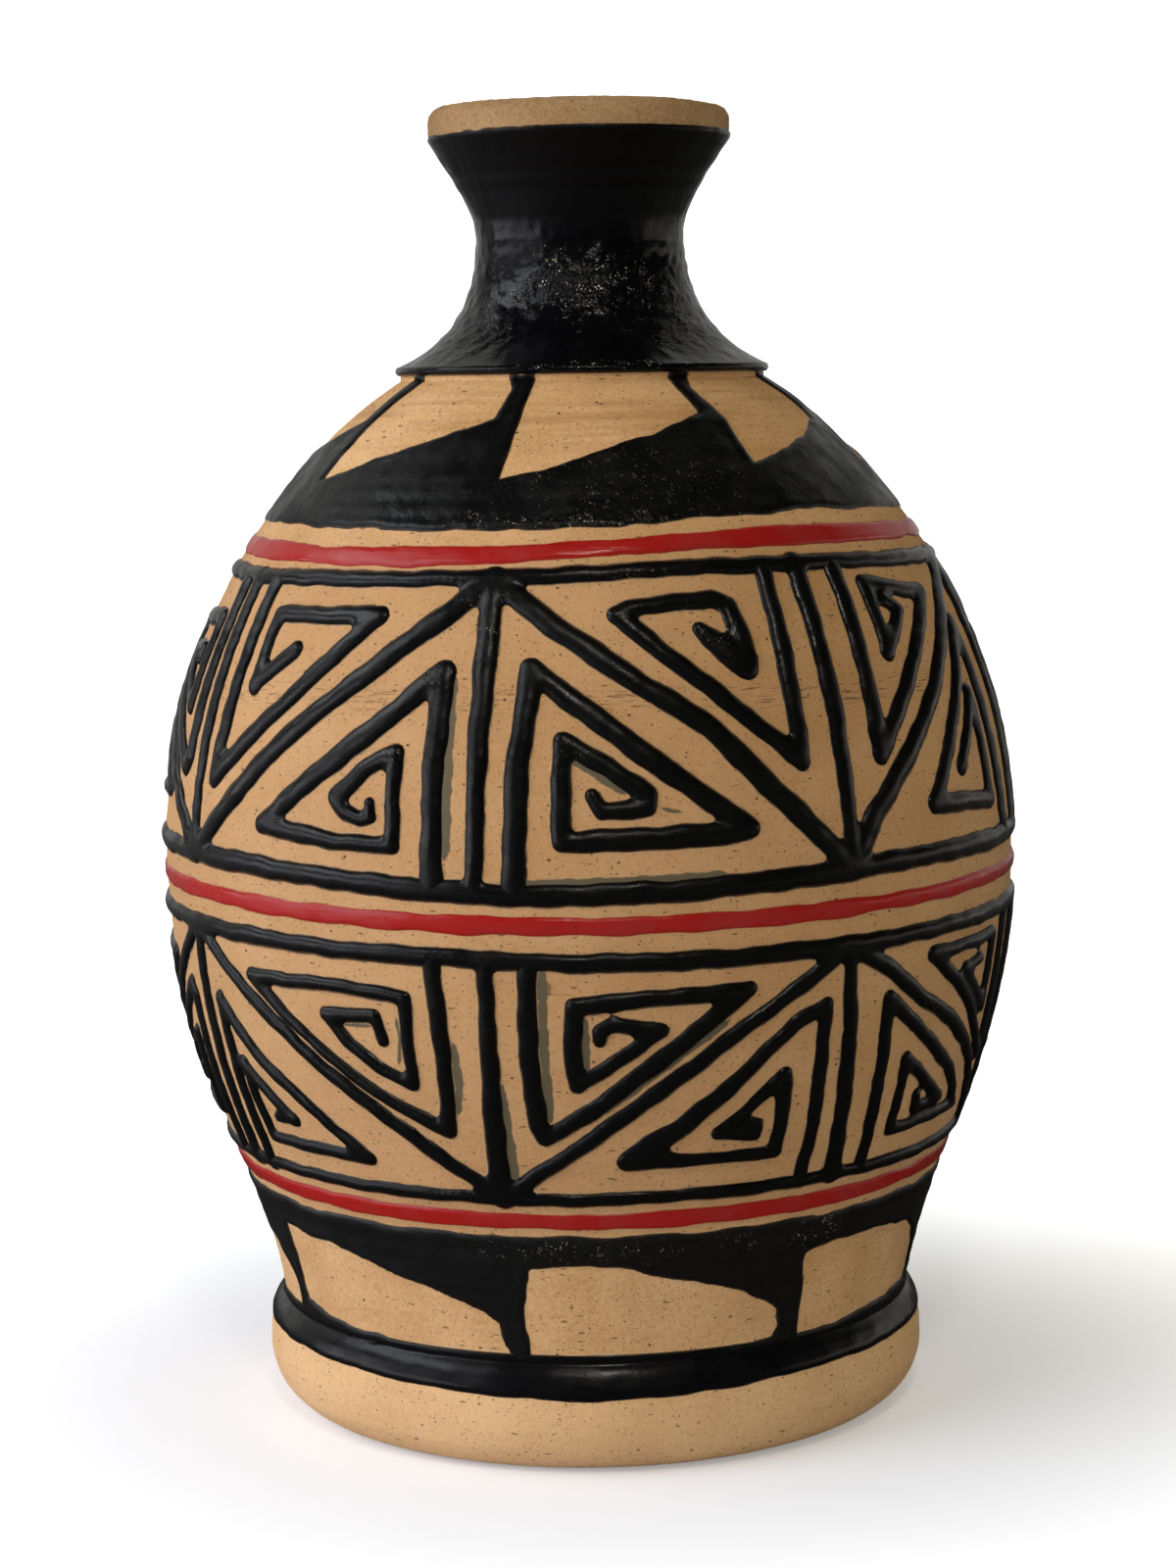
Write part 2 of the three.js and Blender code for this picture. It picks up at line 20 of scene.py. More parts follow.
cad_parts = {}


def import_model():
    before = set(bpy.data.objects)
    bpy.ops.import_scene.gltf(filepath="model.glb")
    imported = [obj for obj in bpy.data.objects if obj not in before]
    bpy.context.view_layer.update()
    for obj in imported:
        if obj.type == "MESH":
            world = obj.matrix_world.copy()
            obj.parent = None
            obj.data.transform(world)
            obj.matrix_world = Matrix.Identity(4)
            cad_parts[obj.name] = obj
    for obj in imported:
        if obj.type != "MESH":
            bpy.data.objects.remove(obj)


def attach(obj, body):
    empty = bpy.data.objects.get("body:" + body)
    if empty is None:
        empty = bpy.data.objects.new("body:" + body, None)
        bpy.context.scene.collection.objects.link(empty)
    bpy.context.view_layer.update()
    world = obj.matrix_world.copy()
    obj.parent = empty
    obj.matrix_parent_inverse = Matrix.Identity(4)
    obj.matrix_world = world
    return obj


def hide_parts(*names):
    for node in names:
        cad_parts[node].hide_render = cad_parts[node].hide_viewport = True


LOG = logging.getLogger("vase")
MM = 0.001
BODY = "root"
SAME_PLACE = 1e-7  # metres, within which two places are one
ON_AXIS = 1e-6  # metres, within which a place is on the axis
BARELY = 1e-9  # keeps a division clear of zero

Place = tuple[float, float]


class Slot(Enum):
    """The record's material slots."""

    CLAY = "clay"
    BLACK = "black_glaze"
    RED = "red_glaze"


class Border(Enum):
    """The border of a frieze that a coil's stem grows from, with its direction into the frieze."""

    TOP = -1
    BOTTOM = 1


# ---------------------------------------------------------------- the shape of the pot


def curved(points: Sequence[Place], steps: int) -> np.ndarray:
    """Points of cubic curves that follow one another.

    Args:
        points: The start, and then two handles and an end for each curve, as (radius, height).
        steps: The number of steps along each curve.

    Returns:
        An array of rows of (radius, height).
    """
    t = np.linspace(0, 1, steps + 1)[:, None]
    curves = []
    for i in range(0, len(points) - 1, 3):
        a, b, c, d = (np.asarray(point, float) for point in points[i : i + 4])
        curve = (1 - t) ** 3 * a + 3 * (1 - t) ** 2 * t * b + 3 * (1 - t) * t**2 * c + t**3 * d
        curves.append(curve[min(i, 1) :])
    return np.vstack(curves)


def resampled(line: np.ndarray, spacing: float) -> np.ndarray:
    """A (radius, height) line with points at an even spacing.

    Args:
        line: The line's points.
        spacing: The wanted distance between the new points.

    Returns:
        The new points, with the first and last ones kept.
    """
    steps = np.hypot(*np.diff(line, axis=0).T)
    along = np.concatenate([[0], np.cumsum(steps)])
    at = np.linspace(0, along[-1], max(2, round(along[-1] / spacing) + 1))
    return np.stack([np.interp(at, along, line[:, 0]), np.interp(at, along, line[:, 1])], 1)


@dataclass(frozen=True)
class PotShape:
    """The outside of the clay, as the frame has it.

    A part's lean, rise, in, out, up, down, below and above are the handles of its curves. The
    ring and hand heights are how deep the marks of throwing are. The marks stay off a seam by the
    still distance, and grow to their depth within the calm one.
    """

    height: float = 250.0
    foot_bore: float = 50.3
    foot_contact: float = 55.5
    bead_radius: float = 64.3
    bead_middle: float = 11.0
    bead_height: float = 21.0
    wall_start: float = 61.2
    wall_lean: float = 4.9
    wall_rise: float = 31.0
    belly_radius: float = 82.2
    belly_height: float = 109.0
    belly_below: float = 43.0
    belly_above: float = 40.0
    shoulder_out: float = 23.0
    shoulder_down: float = 14.0
    collar_radius: float = 35.0
    collar_start: float = 198.3
    ledge_bottom: float = 199.5
    ledge_top: float = 200.6
    ledge_radius: float = 35.6
    neck_start: float = 35.2
    neck_flare_in: float = 6.5
    neck_flare_up: float = 3.1
    waist_radius: float = 19.6
    waist_height: float = 226.0
    waist_below: float = 17.0
    waist_above: float = 5.0
    lip_radius: float = 28.8
    lip_bottom: float = 244.2
    lip_in: float = 3.3
    lip_down: float = 4.5
    lip_round: float = 2.6
    seam: float = 0.3
    steps: int = 120
    lip_steps: int = 12
    table_step: float = 0.1
    search_rounds: int = 4
    ring_height: float = 0.045
    hand_height: float = 0.09
    still: float = 0.5
    calm: float = 2.5

    def foot_line(self) -> np.ndarray:
        """The foot's bead, from the ground to the wall."""
        lower = self.bead_middle / 2
        upper = (self.bead_height - self.bead_middle) / 2
        points = [
            (self.foot_contact, 0),
            ((self.foot_contact + 2 * self.bead_radius) / 3, lower / 5),
            (self.bead_radius, lower),
            (self.bead_radius, self.bead_middle),
            (self.bead_radius, self.bead_middle + upper),
            ((2 * self.bead_radius + self.wall_start) / 3, self.bead_height - upper / 3),
            (self.wall_start, self.bead_height),
        ]
        return curved(points, self.steps)

    def wall_line(self) -> np.ndarray:
        """The belly and the shoulder, from the foot to the collar."""
        bottom = self.bead_height + self.seam
        points = [
            (self.wall_start, bottom),
            (self.wall_start + self.wall_lean, bottom + self.wall_rise),
            (self.belly_radius, self.belly_height - self.belly_below),
            (self.belly_radius, self.belly_height),
            (self.belly_radius, self.belly_height + self.belly_above),
            (self.collar_radius + self.shoulder_out, self.collar_start - self.shoulder_down),
            (self.collar_radius, self.collar_start),
        ]
        return curved(points, self.steps)

    def neck_line(self) -> np.ndarray:
        """The neck, from the ledge to the bottom of the lip."""
        points = [
            (self.neck_start, self.ledge_top),
            (self.neck_start - self.neck_flare_in, self.ledge_top + self.neck_flare_up),
            (self.waist_radius, self.waist_height - self.waist_below),
            (self.waist_radius, self.waist_height),
            (self.waist_radius, self.waist_height + self.waist_above),
            (self.lip_radius - self.lip_in, self.lip_bottom - self.lip_down),
            (self.lip_radius, self.lip_bottom),
        ]
        return curved(points, self.steps)

    def lip_line(self) -> np.ndarray:
        """The rounding of the lip, from its side to its top."""
        side = self.height - self.lip_round
        return curved(
            [
                (self.lip_radius, side),
                (self.lip_radius, side + self.lip_round / 2),
                (self.lip_radius - self.lip_round / 2, self.height),
                (self.lip_radius - self.lip_round, self.height),
            ],
            self.lip_steps,
        )

    @cached_property
    def _table(self) -> tuple[np.ndarray, np.ndarray, np.ndarray, np.ndarray]:
        """Heights with the radius, its growth with height, and the length along the surface."""
        ledge = [
            (self.collar_radius, self.ledge_bottom),
            (self.ledge_radius, self.ledge_bottom + self.seam),
            (self.ledge_radius, self.ledge_top),
        ]
        lines = [self.foot_line(), self.wall_line(), ledge, self.neck_line(), self.lip_line()]
        outside = np.vstack([np.asarray(line, float) for line in lines])
        rising = np.maximum.accumulate(outside[:, 1])
        z = np.arange(0, self.height + self.table_step, self.table_step)
        r = np.interp(z, rising, outside[:, 0])
        slope = np.gradient(r, z)
        length = np.concatenate([[0], np.cumsum(np.hypot(np.diff(r), np.diff(z)))])
        return z, r, slope, length

    def radius(self, z: np.ndarray | float) -> np.ndarray:
        """Radius of the clay's outside at a height."""
        return np.interp(z, self._table[0], self._table[1])

    def slope(self, z: np.ndarray | float) -> np.ndarray:
        """How fast the radius grows with height."""
        return np.interp(z, self._table[0], self._table[2])

    def length(self, z: np.ndarray | float) -> np.ndarray:
        """Distance up the surface from the ground to a height."""
        return np.interp(z, self._table[0], self._table[3])

    def height_at(self, length: np.ndarray | float) -> np.ndarray:
        """The height at a distance up the surface."""
        return np.interp(length, self._table[3], self._table[0])

    @cached_property
    def _ripples(self) -> tuple["Ripple", "Ripple"]:
        """The wheel's rings and the hand's unevenness."""
        rings = Ripple(11, rounds=(0, 2), lengths=(1.9, 6.5), count=16)
        hand = Ripple(12, rounds=(1, 5), lengths=(25, 90), count=10)
        return rings, hand

    def relief(self, angle: np.ndarray, z: np.ndarray) -> np.ndarray:
        """How far throwing left the clay off its even outline.

        Args:
            angle: Degrees round the pot.
            z: Heights.

        Returns:
            The heights of the marks, which fade out at the foot, the seams and the lip.
        """
        rings, hand = self._ripples
        joints = (0.0, self.bead_height, self.ledge_bottom, self.lip_bottom)
        near = np.min([np.abs(z - joint) for joint in joints], axis=0)
        fade = np.clip((near - self.still) / self.calm, 0, 1) * (z < self.lip_bottom)
        return fade * (self.ring_height * rings.at(angle, z) + self.hand_height * hand.at(angle, z))

    def frame(self, angle: float, z: float) -> Matrix:
        """Directions at a place: round the pot, up the wall and out of it.

        Args:
            angle: Degrees round the pot.
            z: The height.

        Returns:
            The three directions, as the columns of a matrix.
        """
        turn = math.radians(angle)
        slope = float(self.slope(z))
        size = math.hypot(1, slope)
        out = Vector((math.sin(turn) / size, -math.cos(turn) / size, -slope / size))
        across = Vector((math.cos(turn), math.sin(turn), 0.0))
        return Matrix((across, out.cross(across), out)).transposed()

    def point(self, angle: np.ndarray, z: np.ndarray, lift: np.ndarray | float) -> np.ndarray:
        """Points on or off the pot.

        Args:
            angle: Degrees round the pot.
            z: Heights of the places on the clay.
            lift: Distance off the clay.

        Returns:
            An array of rows of x, y and z in metres.
        """
        turn = np.radians(angle)
        slope = self.slope(z)
        size = np.hypot(1, slope)
        lift = lift + self.relief(angle, z)
        r = self.radius(z) + lift / size
        return np.stack([r * np.sin(turn), -r * np.cos(turn), z - lift * slope / size], -1) * MM

    def place(self, points: np.ndarray) -> tuple[np.ndarray, np.ndarray, np.ndarray]:
        """Places of points that are near the outside.

        Args:
            points: Rows of x, y and z in metres.

        Returns:
            The angles, the heights on the clay, and the lifts.
        """
        x, y, z = (points / MM).T
        reach = np.hypot(x, y)
        foot, lift = z.copy(), np.zeros_like(z)
        for _ in range(self.search_rounds):
            slope = self.slope(foot)
            size = np.hypot(1, slope)
            out, up = reach - self.radius(foot), z - foot
            lift = (out - up * slope) / size
            foot = np.clip(foot + (out * slope + up) / size**2, 0, self.height)
        angle = np.degrees(np.arctan2(x, -y))
        return angle, foot, lift - self.relief(angle, foot)


class Ripple:
    """A smooth random height over the pot, the same on every run."""

    def __init__(
        self, seed: int, rounds: tuple[int, int], lengths: tuple[float, float], count: int
    ):
        """Draws the waves.

        Args:
            seed: Start of the random numbers.
            rounds: Fewest and most waves round the pot.
            lengths: Shortest and longest wave up the pot, in millimetres.
            count: Number of waves.
        """
        draw = np.random.default_rng(seed)
        self.rounds = draw.integers(rounds[0], rounds[1] + 1, count)
        self.ups = draw.choice([-1, 1], count) * math.tau / draw.uniform(*lengths, count)
        self.starts = draw.uniform(0, math.tau, count)

    def at(self, angle: np.ndarray, z: np.ndarray) -> np.ndarray:
        """Height of the ripple at places, from about -1 to 1.

        Args:
            angle: Degrees round the pot.
            z: Heights.

        Returns:
            The ripple's heights.
        """
        total = np.zeros(np.shape(angle))
        turn = np.radians(angle)
        for rounds, up, start in zip(self.rounds, self.ups, self.starts):
            total += np.sin(rounds * turn + up * z + start)
        return total / math.sqrt(len(self.rounds))


def edge_height(knots: Sequence[Place], angle: np.ndarray | float) -> np.ndarray:
    """Height at an angle of an edge round the pot, which runs straight between its places."""
    angles, heights = zip(*knots)
    return np.interp(angle, angles, heights, period=360)


class Sway:
    """A smooth random number along a line, the same on every run."""

    def __init__(self, draw: np.random.Generator, lengths: Sequence[float]):
        """Draws one wave for each length.

        Args:
            draw: The source of random numbers.
            lengths: The lengths of the waves in millimetres.
        """
        self.waves = [
            (math.tau / (length * draw.uniform(0.8, 1.25)), draw.uniform(0, math.tau))
            for length in lengths
        ]

    def at(self, along: np.ndarray) -> np.ndarray:
        """The number at distances along the line, from about -1 to 1."""
        total = sum(np.sin(turns * along + start) for turns, start in self.waves)
        return total / math.sqrt(len(self.waves))


# ---------------------------------------------------------------- meshes


def corners_of(mesh: bpy.types.Mesh) -> np.ndarray:
    """The mesh's vertices.

    Args:
        mesh: The mesh.

    Returns:
        Rows of x, y and z.
    """
    flat = np.empty(len(mesh.vertices) * 3, np.float32)
    mesh.vertices.foreach_get("co", flat)
    return flat.reshape(-1, 3).astype(float)


def set_corners(mesh: bpy.types.Mesh, points: np.ndarray) -> None:
    """Moves the mesh's vertices."""
    mesh.vertices.foreach_set("co", points.astype(np.float32).ravel())
    mesh.update()


def mark(mesh: bpy.types.Mesh, name: str, values: np.ndarray) -> None:
    """Keeps a number at each vertex for the finishes to read."""
    made = mesh.attributes.new(name, "FLOAT", "POINT")
    made.data.foreach_set("value", values.astype(np.float32))


def off_axis(edge: bmesh.types.BMEdge) -> bool:
    """Whether an edge runs round the axis, and not towards it."""
    near, far = sorted(vert.co.xy.length for vert in edge.verts)
    return near > ON_AXIS and far - near < SAME_PLACE


def spun(outline: np.ndarray, sides: int, cuts: int = 9) -> bmesh.types.BMesh:
    """Spins a closed (radius, height) outline round the pot's axis.

    Args:
        outline: The outline's points in millimetres, without the first one again at its end.
        sides: Number of sides round the pot, a multiple of cuts + 1.
        cuts: Cuts across each step of the spin, which are then rounded out.

    Returns:
        A closed mesh with its faces outwards.
    """
    steps = sides // (cuts + 1)
    bm = bmesh.new()
    ring = [bm.verts.new((0.0, -r * MM, z * MM)) for r, z in outline]
    edges = [bm.edges.new(pair) for pair in zip(ring, ring[1:] + ring[:1])]
    bmesh.ops.spin(
        bm,
        geom=ring + edges,
        cent=(0, 0, 0),
        axis=(0, 0, 1),
        dvec=(0, 0, 0),
        angle=math.tau,
        steps=steps,
        use_merge=True,
        use_normal_flip=False,
        use_duplicate=False,
    )
    bmesh.ops.remove_doubles(bm, verts=bm.verts, dist=SAME_PLACE)
    level = [
        edge
        for edge in bm.edges
        if abs(edge.verts[0].co.z - edge.verts[1].co.z) < SAME_PLACE and off_axis(edge)
    ]
    bmesh.ops.subdivide_edges(bm, edges=level, cuts=cuts, use_grid_fill=True)
    step = math.tau / steps
    for vert in bm.verts:
        aside = (math.atan2(vert.co.x, -vert.co.y) % step) - step / 2
        vert.co.xy *= math.cos(aside) / math.cos(step / 2)
    bmesh.ops.recalc_face_normals(bm, faces=bm.faces)
    return bm


def to_mesh(bm: bmesh.types.BMesh, name: str) -> bpy.types.Mesh:
    """Ends a bmesh as a smooth mesh datablock.

    Args:
        bm: The bmesh, which is freed.
        name: The mesh's name.

    Returns:
        The mesh.
    """
    mesh = bpy.data.meshes.new(name)
    bm.to_mesh(mesh)
    bm.free()
    mesh.shade_smooth()
    return mesh


def joined(part: bmesh.types.BMesh, whole: bmesh.types.BMesh) -> None:
    """Adds one bmesh to another, and ends it.

    Args:
        part: The bmesh that is added and freed.
        whole: The bmesh that takes it.
    """
    passing = bpy.data.meshes.new("passing")
    part.to_mesh(passing)
    part.free()
    whole.from_mesh(passing)
    bpy.data.meshes.remove(passing)


def seat(
    mesh: bpy.types.Mesh,
    name: str,
    material: bpy.types.Material,
    nodes: Sequence[str],
) -> None:
    """Makes a mesh a piece of the vase.

    Args:
        mesh: The mesh, in place.
        name: The piece's name.
        material: Its finish.
        nodes: The frame's nodes that the piece stands for.
    """
    piece = bpy.data.objects.new(name, mesh)
    bpy.context.scene.collection.objects.link(piece)
    mesh.materials.clear()
    mesh.materials.append(material)
    if nodes:
        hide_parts(*nodes)
    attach(piece, BODY)
    stands_for = ", ".join(nodes) or "no node"
    LOG.info("%s: %d faces, stands for %s", name, len(mesh.polygons), stands_for)


# ---------------------------------------------------------------- the three clay sections


@dataclass(frozen=True)
class ClaySections:
    """The thrown body, the neck and the foot ring, with the marks of the wheel.

    A row is the distance between the points of an outline. The marks go into what lies within
    the skin's depth of the outside. The lip's sand and sag are how far its grain and its
    unevenness move it, and they fade out within its reach.
    """

    shape: PotShape
    finish: bpy.types.Material
    rim_finish: bpy.types.Material
    wall: float = 6.0
    floor: float = 12.0
    recess: float = 3.0
    mouth_radius: float = 19.0
    throat_radius: float = 14.0
    lip_wall: float = 6.0
    lip_inner_round: float = 1.0
    lip_inner_steps: int = 4
    throat_steps: int = 12
    row: float = 1.2
    inner_row: float = 8.0
    foot_row: float = 0.8
    lip_row: float = 0.4
    lip_side_row: float = 0.5
    lip_top_row: float = 0.6
    skin: float = 0.6
    body_crease: float = 40.0
    crease: float = 50.0
    lip_reach: float = 1.5
    lip_sand: float = 0.07
    lip_top_sand: float = 0.06
    lip_sag: float = 0.2
    lip_drop: float = 0.12
    body_sides: int = 300
    neck_sides: int = 200
    foot_sides: int = 260

    def build(self) -> None:
        """Builds and seats the three sections."""
        self._body()
        self._neck()
        self._foot()

    def _thrown(self, mesh: bpy.types.Mesh) -> None:
        """Presses the marks of throwing into the outside of a spun section.

        Args:
            mesh: The section, as it was spun.
        """
        points = corners_of(mesh)
        angle, z, lift = self.shape.place(points)
        outside = np.abs(lift) < self.skin
        moved = self.shape.point(angle, z, 0.0)
        points[outside] = moved[outside]
        set_corners(mesh, points)

    def _seat(
        self, mesh: bpy.types.Mesh, name: str, finish: bpy.types.Material, crease: float
    ) -> None:
        """Keeps a section's edges sharp, and seats it."""
        mesh.set_sharp_from_angle(angle=math.radians(crease))
        seat(mesh, name, finish, [f"clay_{name}"])

    def _body(self) -> None:
        """The belly, from the floor to the collar."""
        s = self.shape
        base = s.foot_bore - s.seam
        outer = resampled(s.wall_line(), self.row)
        slopes = np.gradient(outer, axis=0)
        slopes /= np.hypot(*slopes.T)[:, None]
        inner = outer + np.stack([-slopes[:, 1], slopes[:, 0]], 1) * self.wall
        top = s.collar_start - self.wall
        keep = (inner[:, 1] > s.bead_height + self.wall) & (inner[:, 1] < top - self.wall / 2)
        inner = resampled(inner[keep & (inner[:, 0] > self.mouth_radius)], self.inner_row)[::-1]
        outline = np.vstack(
            [
                [(0, self.recess), (base, self.recess), (base, s.bead_height + s.seam)],
                outer,
                [(s.collar_radius, s.ledge_bottom), (self.mouth_radius, s.ledge_bottom)],
                [(self.mouth_radius, top + self.wall / 3)],
                inner,
                [(base - self.wall, self.floor), (0, self.floor)],
            ]
        )
        mesh = to_mesh(spun(outline, self.body_sides), "body")
        self._thrown(mesh)
        self._seat(mesh, "body", self.finish, self.body_crease)

    def _neck(self) -> None:
        """The neck with its ledge and lip."""
        s = self.shape
        start = s.ledge_bottom + s.seam
        mouth = s.lip_radius - self.lip_wall
        throat = curved(
            [
                (mouth, s.lip_bottom),
                (mouth - s.lip_in, s.lip_bottom - s.lip_down),
                (self.throat_radius, s.waist_height + s.waist_above),
                (self.throat_radius, s.waist_height),
            ],
            self.throat_steps,
        )
        lip_inside = curved(
            [
                (mouth + self.lip_inner_round, s.height),
                (mouth + self.lip_inner_round / 3, s.height),
                (mouth, s.height - self.lip_inner_round / 3),
                (mouth, s.height - self.lip_inner_round),
            ],
            self.lip_inner_steps,
        )
        lip = resampled(s.lip_line(), self.lip_row)
        lip_side = np.array([(s.lip_radius, s.lip_bottom + self.lip_row), lip[0]])
        outline = np.vstack(
            [
                [(self.throat_radius, start), (s.ledge_radius, start)],
                [(s.ledge_radius, s.ledge_top)],
                resampled(s.neck_line(), self.row),
                resampled(lip_side, self.lip_side_row),
                lip[1:],
                resampled(np.array([lip[-1], lip_inside[0]]), self.lip_top_row)[1:],
                lip_inside[1:],
                throat,
            ]
        )
        mesh = to_mesh(spun(outline, self.neck_sides), "neck")
        points = corners_of(mesh)
        angle = np.degrees(np.arctan2(points[:, 0], -points[:, 1]))
        z = points[:, 2] / MM
        sand = Ripple(23, rounds=(25, 90), lengths=(1.2, 3), count=24).at(angle, z)
        sag = Ripple(24, rounds=(1, 4), lengths=(30, 60), count=6).at(angle, z)
        at_lip = np.clip((z - s.lip_bottom) / self.lip_reach, 0, 1)
        reach = np.hypot(points[:, 0], points[:, 1])
        out = points[:, :2] / reach[:, None]
        points[:, :2] += out * (at_lip * sand * self.lip_sand * MM)[:, None]
        rise = sand * self.lip_top_sand + np.minimum(sag, 0) * self.lip_sag - self.lip_drop
        points[:, 2] += at_lip * rise * MM
        set_corners(mesh, points)
        self._seat(mesh, "neck", self.rim_finish, self.crease)

    def _foot(self) -> None:
        """The thick rounded foot."""
        s = self.shape
        outer = resampled(s.foot_line(), self.foot_row)
        outline = np.vstack([[(s.foot_bore, 0)], outer, [(s.foot_bore, s.bead_height)]])
        mesh = to_mesh(spun(outline, self.foot_sides), "foot_ring")
        self._thrown(mesh)
        self._seat(mesh, "foot_ring", self.finish, self.crease)


# ---------------------------------------------------------------- coats of glaze


@dataclass(frozen=True)
class Window:
    """A window of bare clay in a coat, by its corners in order."""

    corners: tuple[Place, ...]

    def distance(self, shape: PotShape, angle: np.ndarray, z: np.ndarray) -> np.ndarray:
        """Distance from places to the window's edge, below zero inside the window.

        Args:
            shape: The pot.
            angle: Degrees round the pot.
            z: Heights.

        Returns:
            The distances in millimetres, measured over the surface.
        """
        outline = np.asarray(self.corners, float)
        middle = outline[:, 0].mean()
        turned = (angle - middle + 180) % 360 - 180 + middle
        up = shape.length(z)
        corner_up = shape.length(outline[:, 1])
        scale = np.radians(1) * shape.radius(z)
        nearest = np.full(angle.shape, np.inf)
        inside = np.zeros(angle.shape, bool)
        for i in range(len(outline)):
            j = (i + 1) % len(outline)
            ax, ay = (outline[i, 0] - turned) * scale, corner_up[i] - up
            bx, by = (outline[j, 0] - turned) * scale, corner_up[j] - up
            ex, ey = bx - ax, by - ay
            t = np.clip(-(ax * ex + ay * ey) / np.maximum(ex**2 + ey**2, BARELY), 0, 1)
            nearest = np.minimum(nearest, np.hypot(ax + t * ex, ay + t * ey))
            crosses = (ay > 0) != (by > 0)
            inside ^= crosses & (ax - ay * ex / np.where(ey == 0, BARELY, ey) > 0)
        return np.where(inside, -nearest, nearest)


@dataclass(frozen=True)
class Coat:
    """A band of glaze round the pot, with rounded uneven edges and windows of bare clay.

    The low and high edges are given by their places, and run straight from one to the next. A
    bead is the thicker run of glaze along an edge, and a wobble is how uneven a part is. The
    glaze goes under the clay outside its edges, where it falls until it is sunk.
    """

    name: str
    node: str
    finish: str
    low: tuple[Place, ...]
    high: tuple[Place, ...]
    sides: int
    seed: int
    slot: Slot = Slot.BLACK
    windows: tuple[Window, ...] = ()
    thickness: float = 0.42
    roundness: float = 1.6
    bead: float = 0.07
    bead_at: float = 1.3
    bead_width: float = 0.7
    edge_wobble: float = 0.22
    fine_share: float = 0.3
    low_wobble: float = 1.0
    high_wobble: float = 1.0
    surface_wobble: float = 0.035
    crumple: float = 0.0
    crumple_low: float = 0.0
    crumple_high: float = 0.0
    crumple_fade: float = 4.0
    row: float = 0.55
    inner_rows: int = 8
    margin: float = 1.4
    depth: float = 1.5
    fall: float = 1.6
    sunk: float = 0.7

    def _lift(self, shape: PotShape, angle: np.ndarray, z: np.ndarray) -> np.ndarray:
        """Height of the glaze over the clay at places, below zero where there is none.

        Args:
            shape: The pot.
            angle: Degrees round the pot.
            z: Heights.

        Returns:
            The heights of the glaze.
        """
        shake = Ripple(self.seed, rounds=(6, 40), lengths=(9, 30), count=16)
        fine = Ripple(self.seed + 1, rounds=(40, 95), lengths=(4, 9), count=16)
        off = self.edge_wobble * (shake.at(angle, z) + self.fine_share * fine.at(angle, z))
        up = shape.length(z)
        low, high = (shape.length(edge_height(edge, angle)) for edge in (self.low, self.high))
        gap = np.minimum(up - low + off * self.low_wobble, high - up + off * self.high_wobble)
        for window in self.windows:
            gap = np.minimum(gap, window.distance(shape, angle, z) + off)
        rounding = np.exp(-self.roundness * np.maximum(gap, 0) / self.thickness)
        rise = self.thickness * (1 - rounding)
        bead = self.bead * np.exp(-(((gap - self.bead_at) / self.bead_width) ** 2))
        waves = Ripple(self.seed + 2, rounds=(6, 60), lengths=(5, 22), count=16)
        skin = self.surface_wobble * waves.at(angle, z)
        if self.crumple:
            inwards = np.clip((z - self.crumple_low) / self.crumple_fade, 0, 1)
            inwards *= np.clip((self.crumple_high - z) / self.crumple_fade, 0, 1)
            folds = Ripple(self.seed + 3, rounds=(8, 42), lengths=(2.5, 8), count=20)
            skin = skin + self.crumple * inwards * folds.at(angle, z)
        inside = rise + (bead + skin) * np.clip(gap, 0, 1)
        return np.where(gap > 0, inside, np.maximum(self.fall * gap, -self.sunk))

    def build(self, shape: PotShape, material: bpy.types.Material) -> None:
        """Builds and seats the coat.

        Args:
            shape: The pot.
            material: The coat's finish.
        """
        low = min(z for _, z in self.low)
        high = max(z for _, z in self.high)
        bottom = shape.length(low) - self.margin
        top = min(shape.length(high) + self.margin, shape.length(shape.height))
        rows = np.linspace(bottom, top, round((top - bottom) / self.row) + 1)
        outer_z = shape.height_at(rows)
        outer = np.stack([shape.radius(outer_z), outer_z], 1)
        inner_z = outer_z[:: max(1, len(outer_z) // self.inner_rows)][::-1]
        slope = shape.slope(inner_z)
        size = np.hypot(1, slope)
        inner = np.stack(
            [shape.radius(inner_z) - self.depth / size, inner_z + self.depth * slope / size], 1
        )
        mesh = to_mesh(spun(np.vstack([outer, inner]), self.sides), self.name)
        points = corners_of(mesh)
        angle, z, lift = shape.place(points)
        face = lift > -self.depth / 2
        glaze = self._lift(shape, angle, z)
        moved = shape.point(angle, z, glaze)
        points[face] = moved[face]
        set_corners(mesh, points)
        mark(mesh, "glaze_depth", np.where(face, glaze, 0))
        seat(mesh, self.name, material, [self.node])


# ---------------------------------------------------------------- trailed lines


@dataclass(frozen=True)
class Trail:
    """One pass of the slip trailer over the pot, by the places where it turns.

    A place may carry a third number, the line's width there.
    """

    path: tuple[tuple[float, ...], ...]
    width: float
    end_blob: float = 1.08
    end_width: float = 1.0


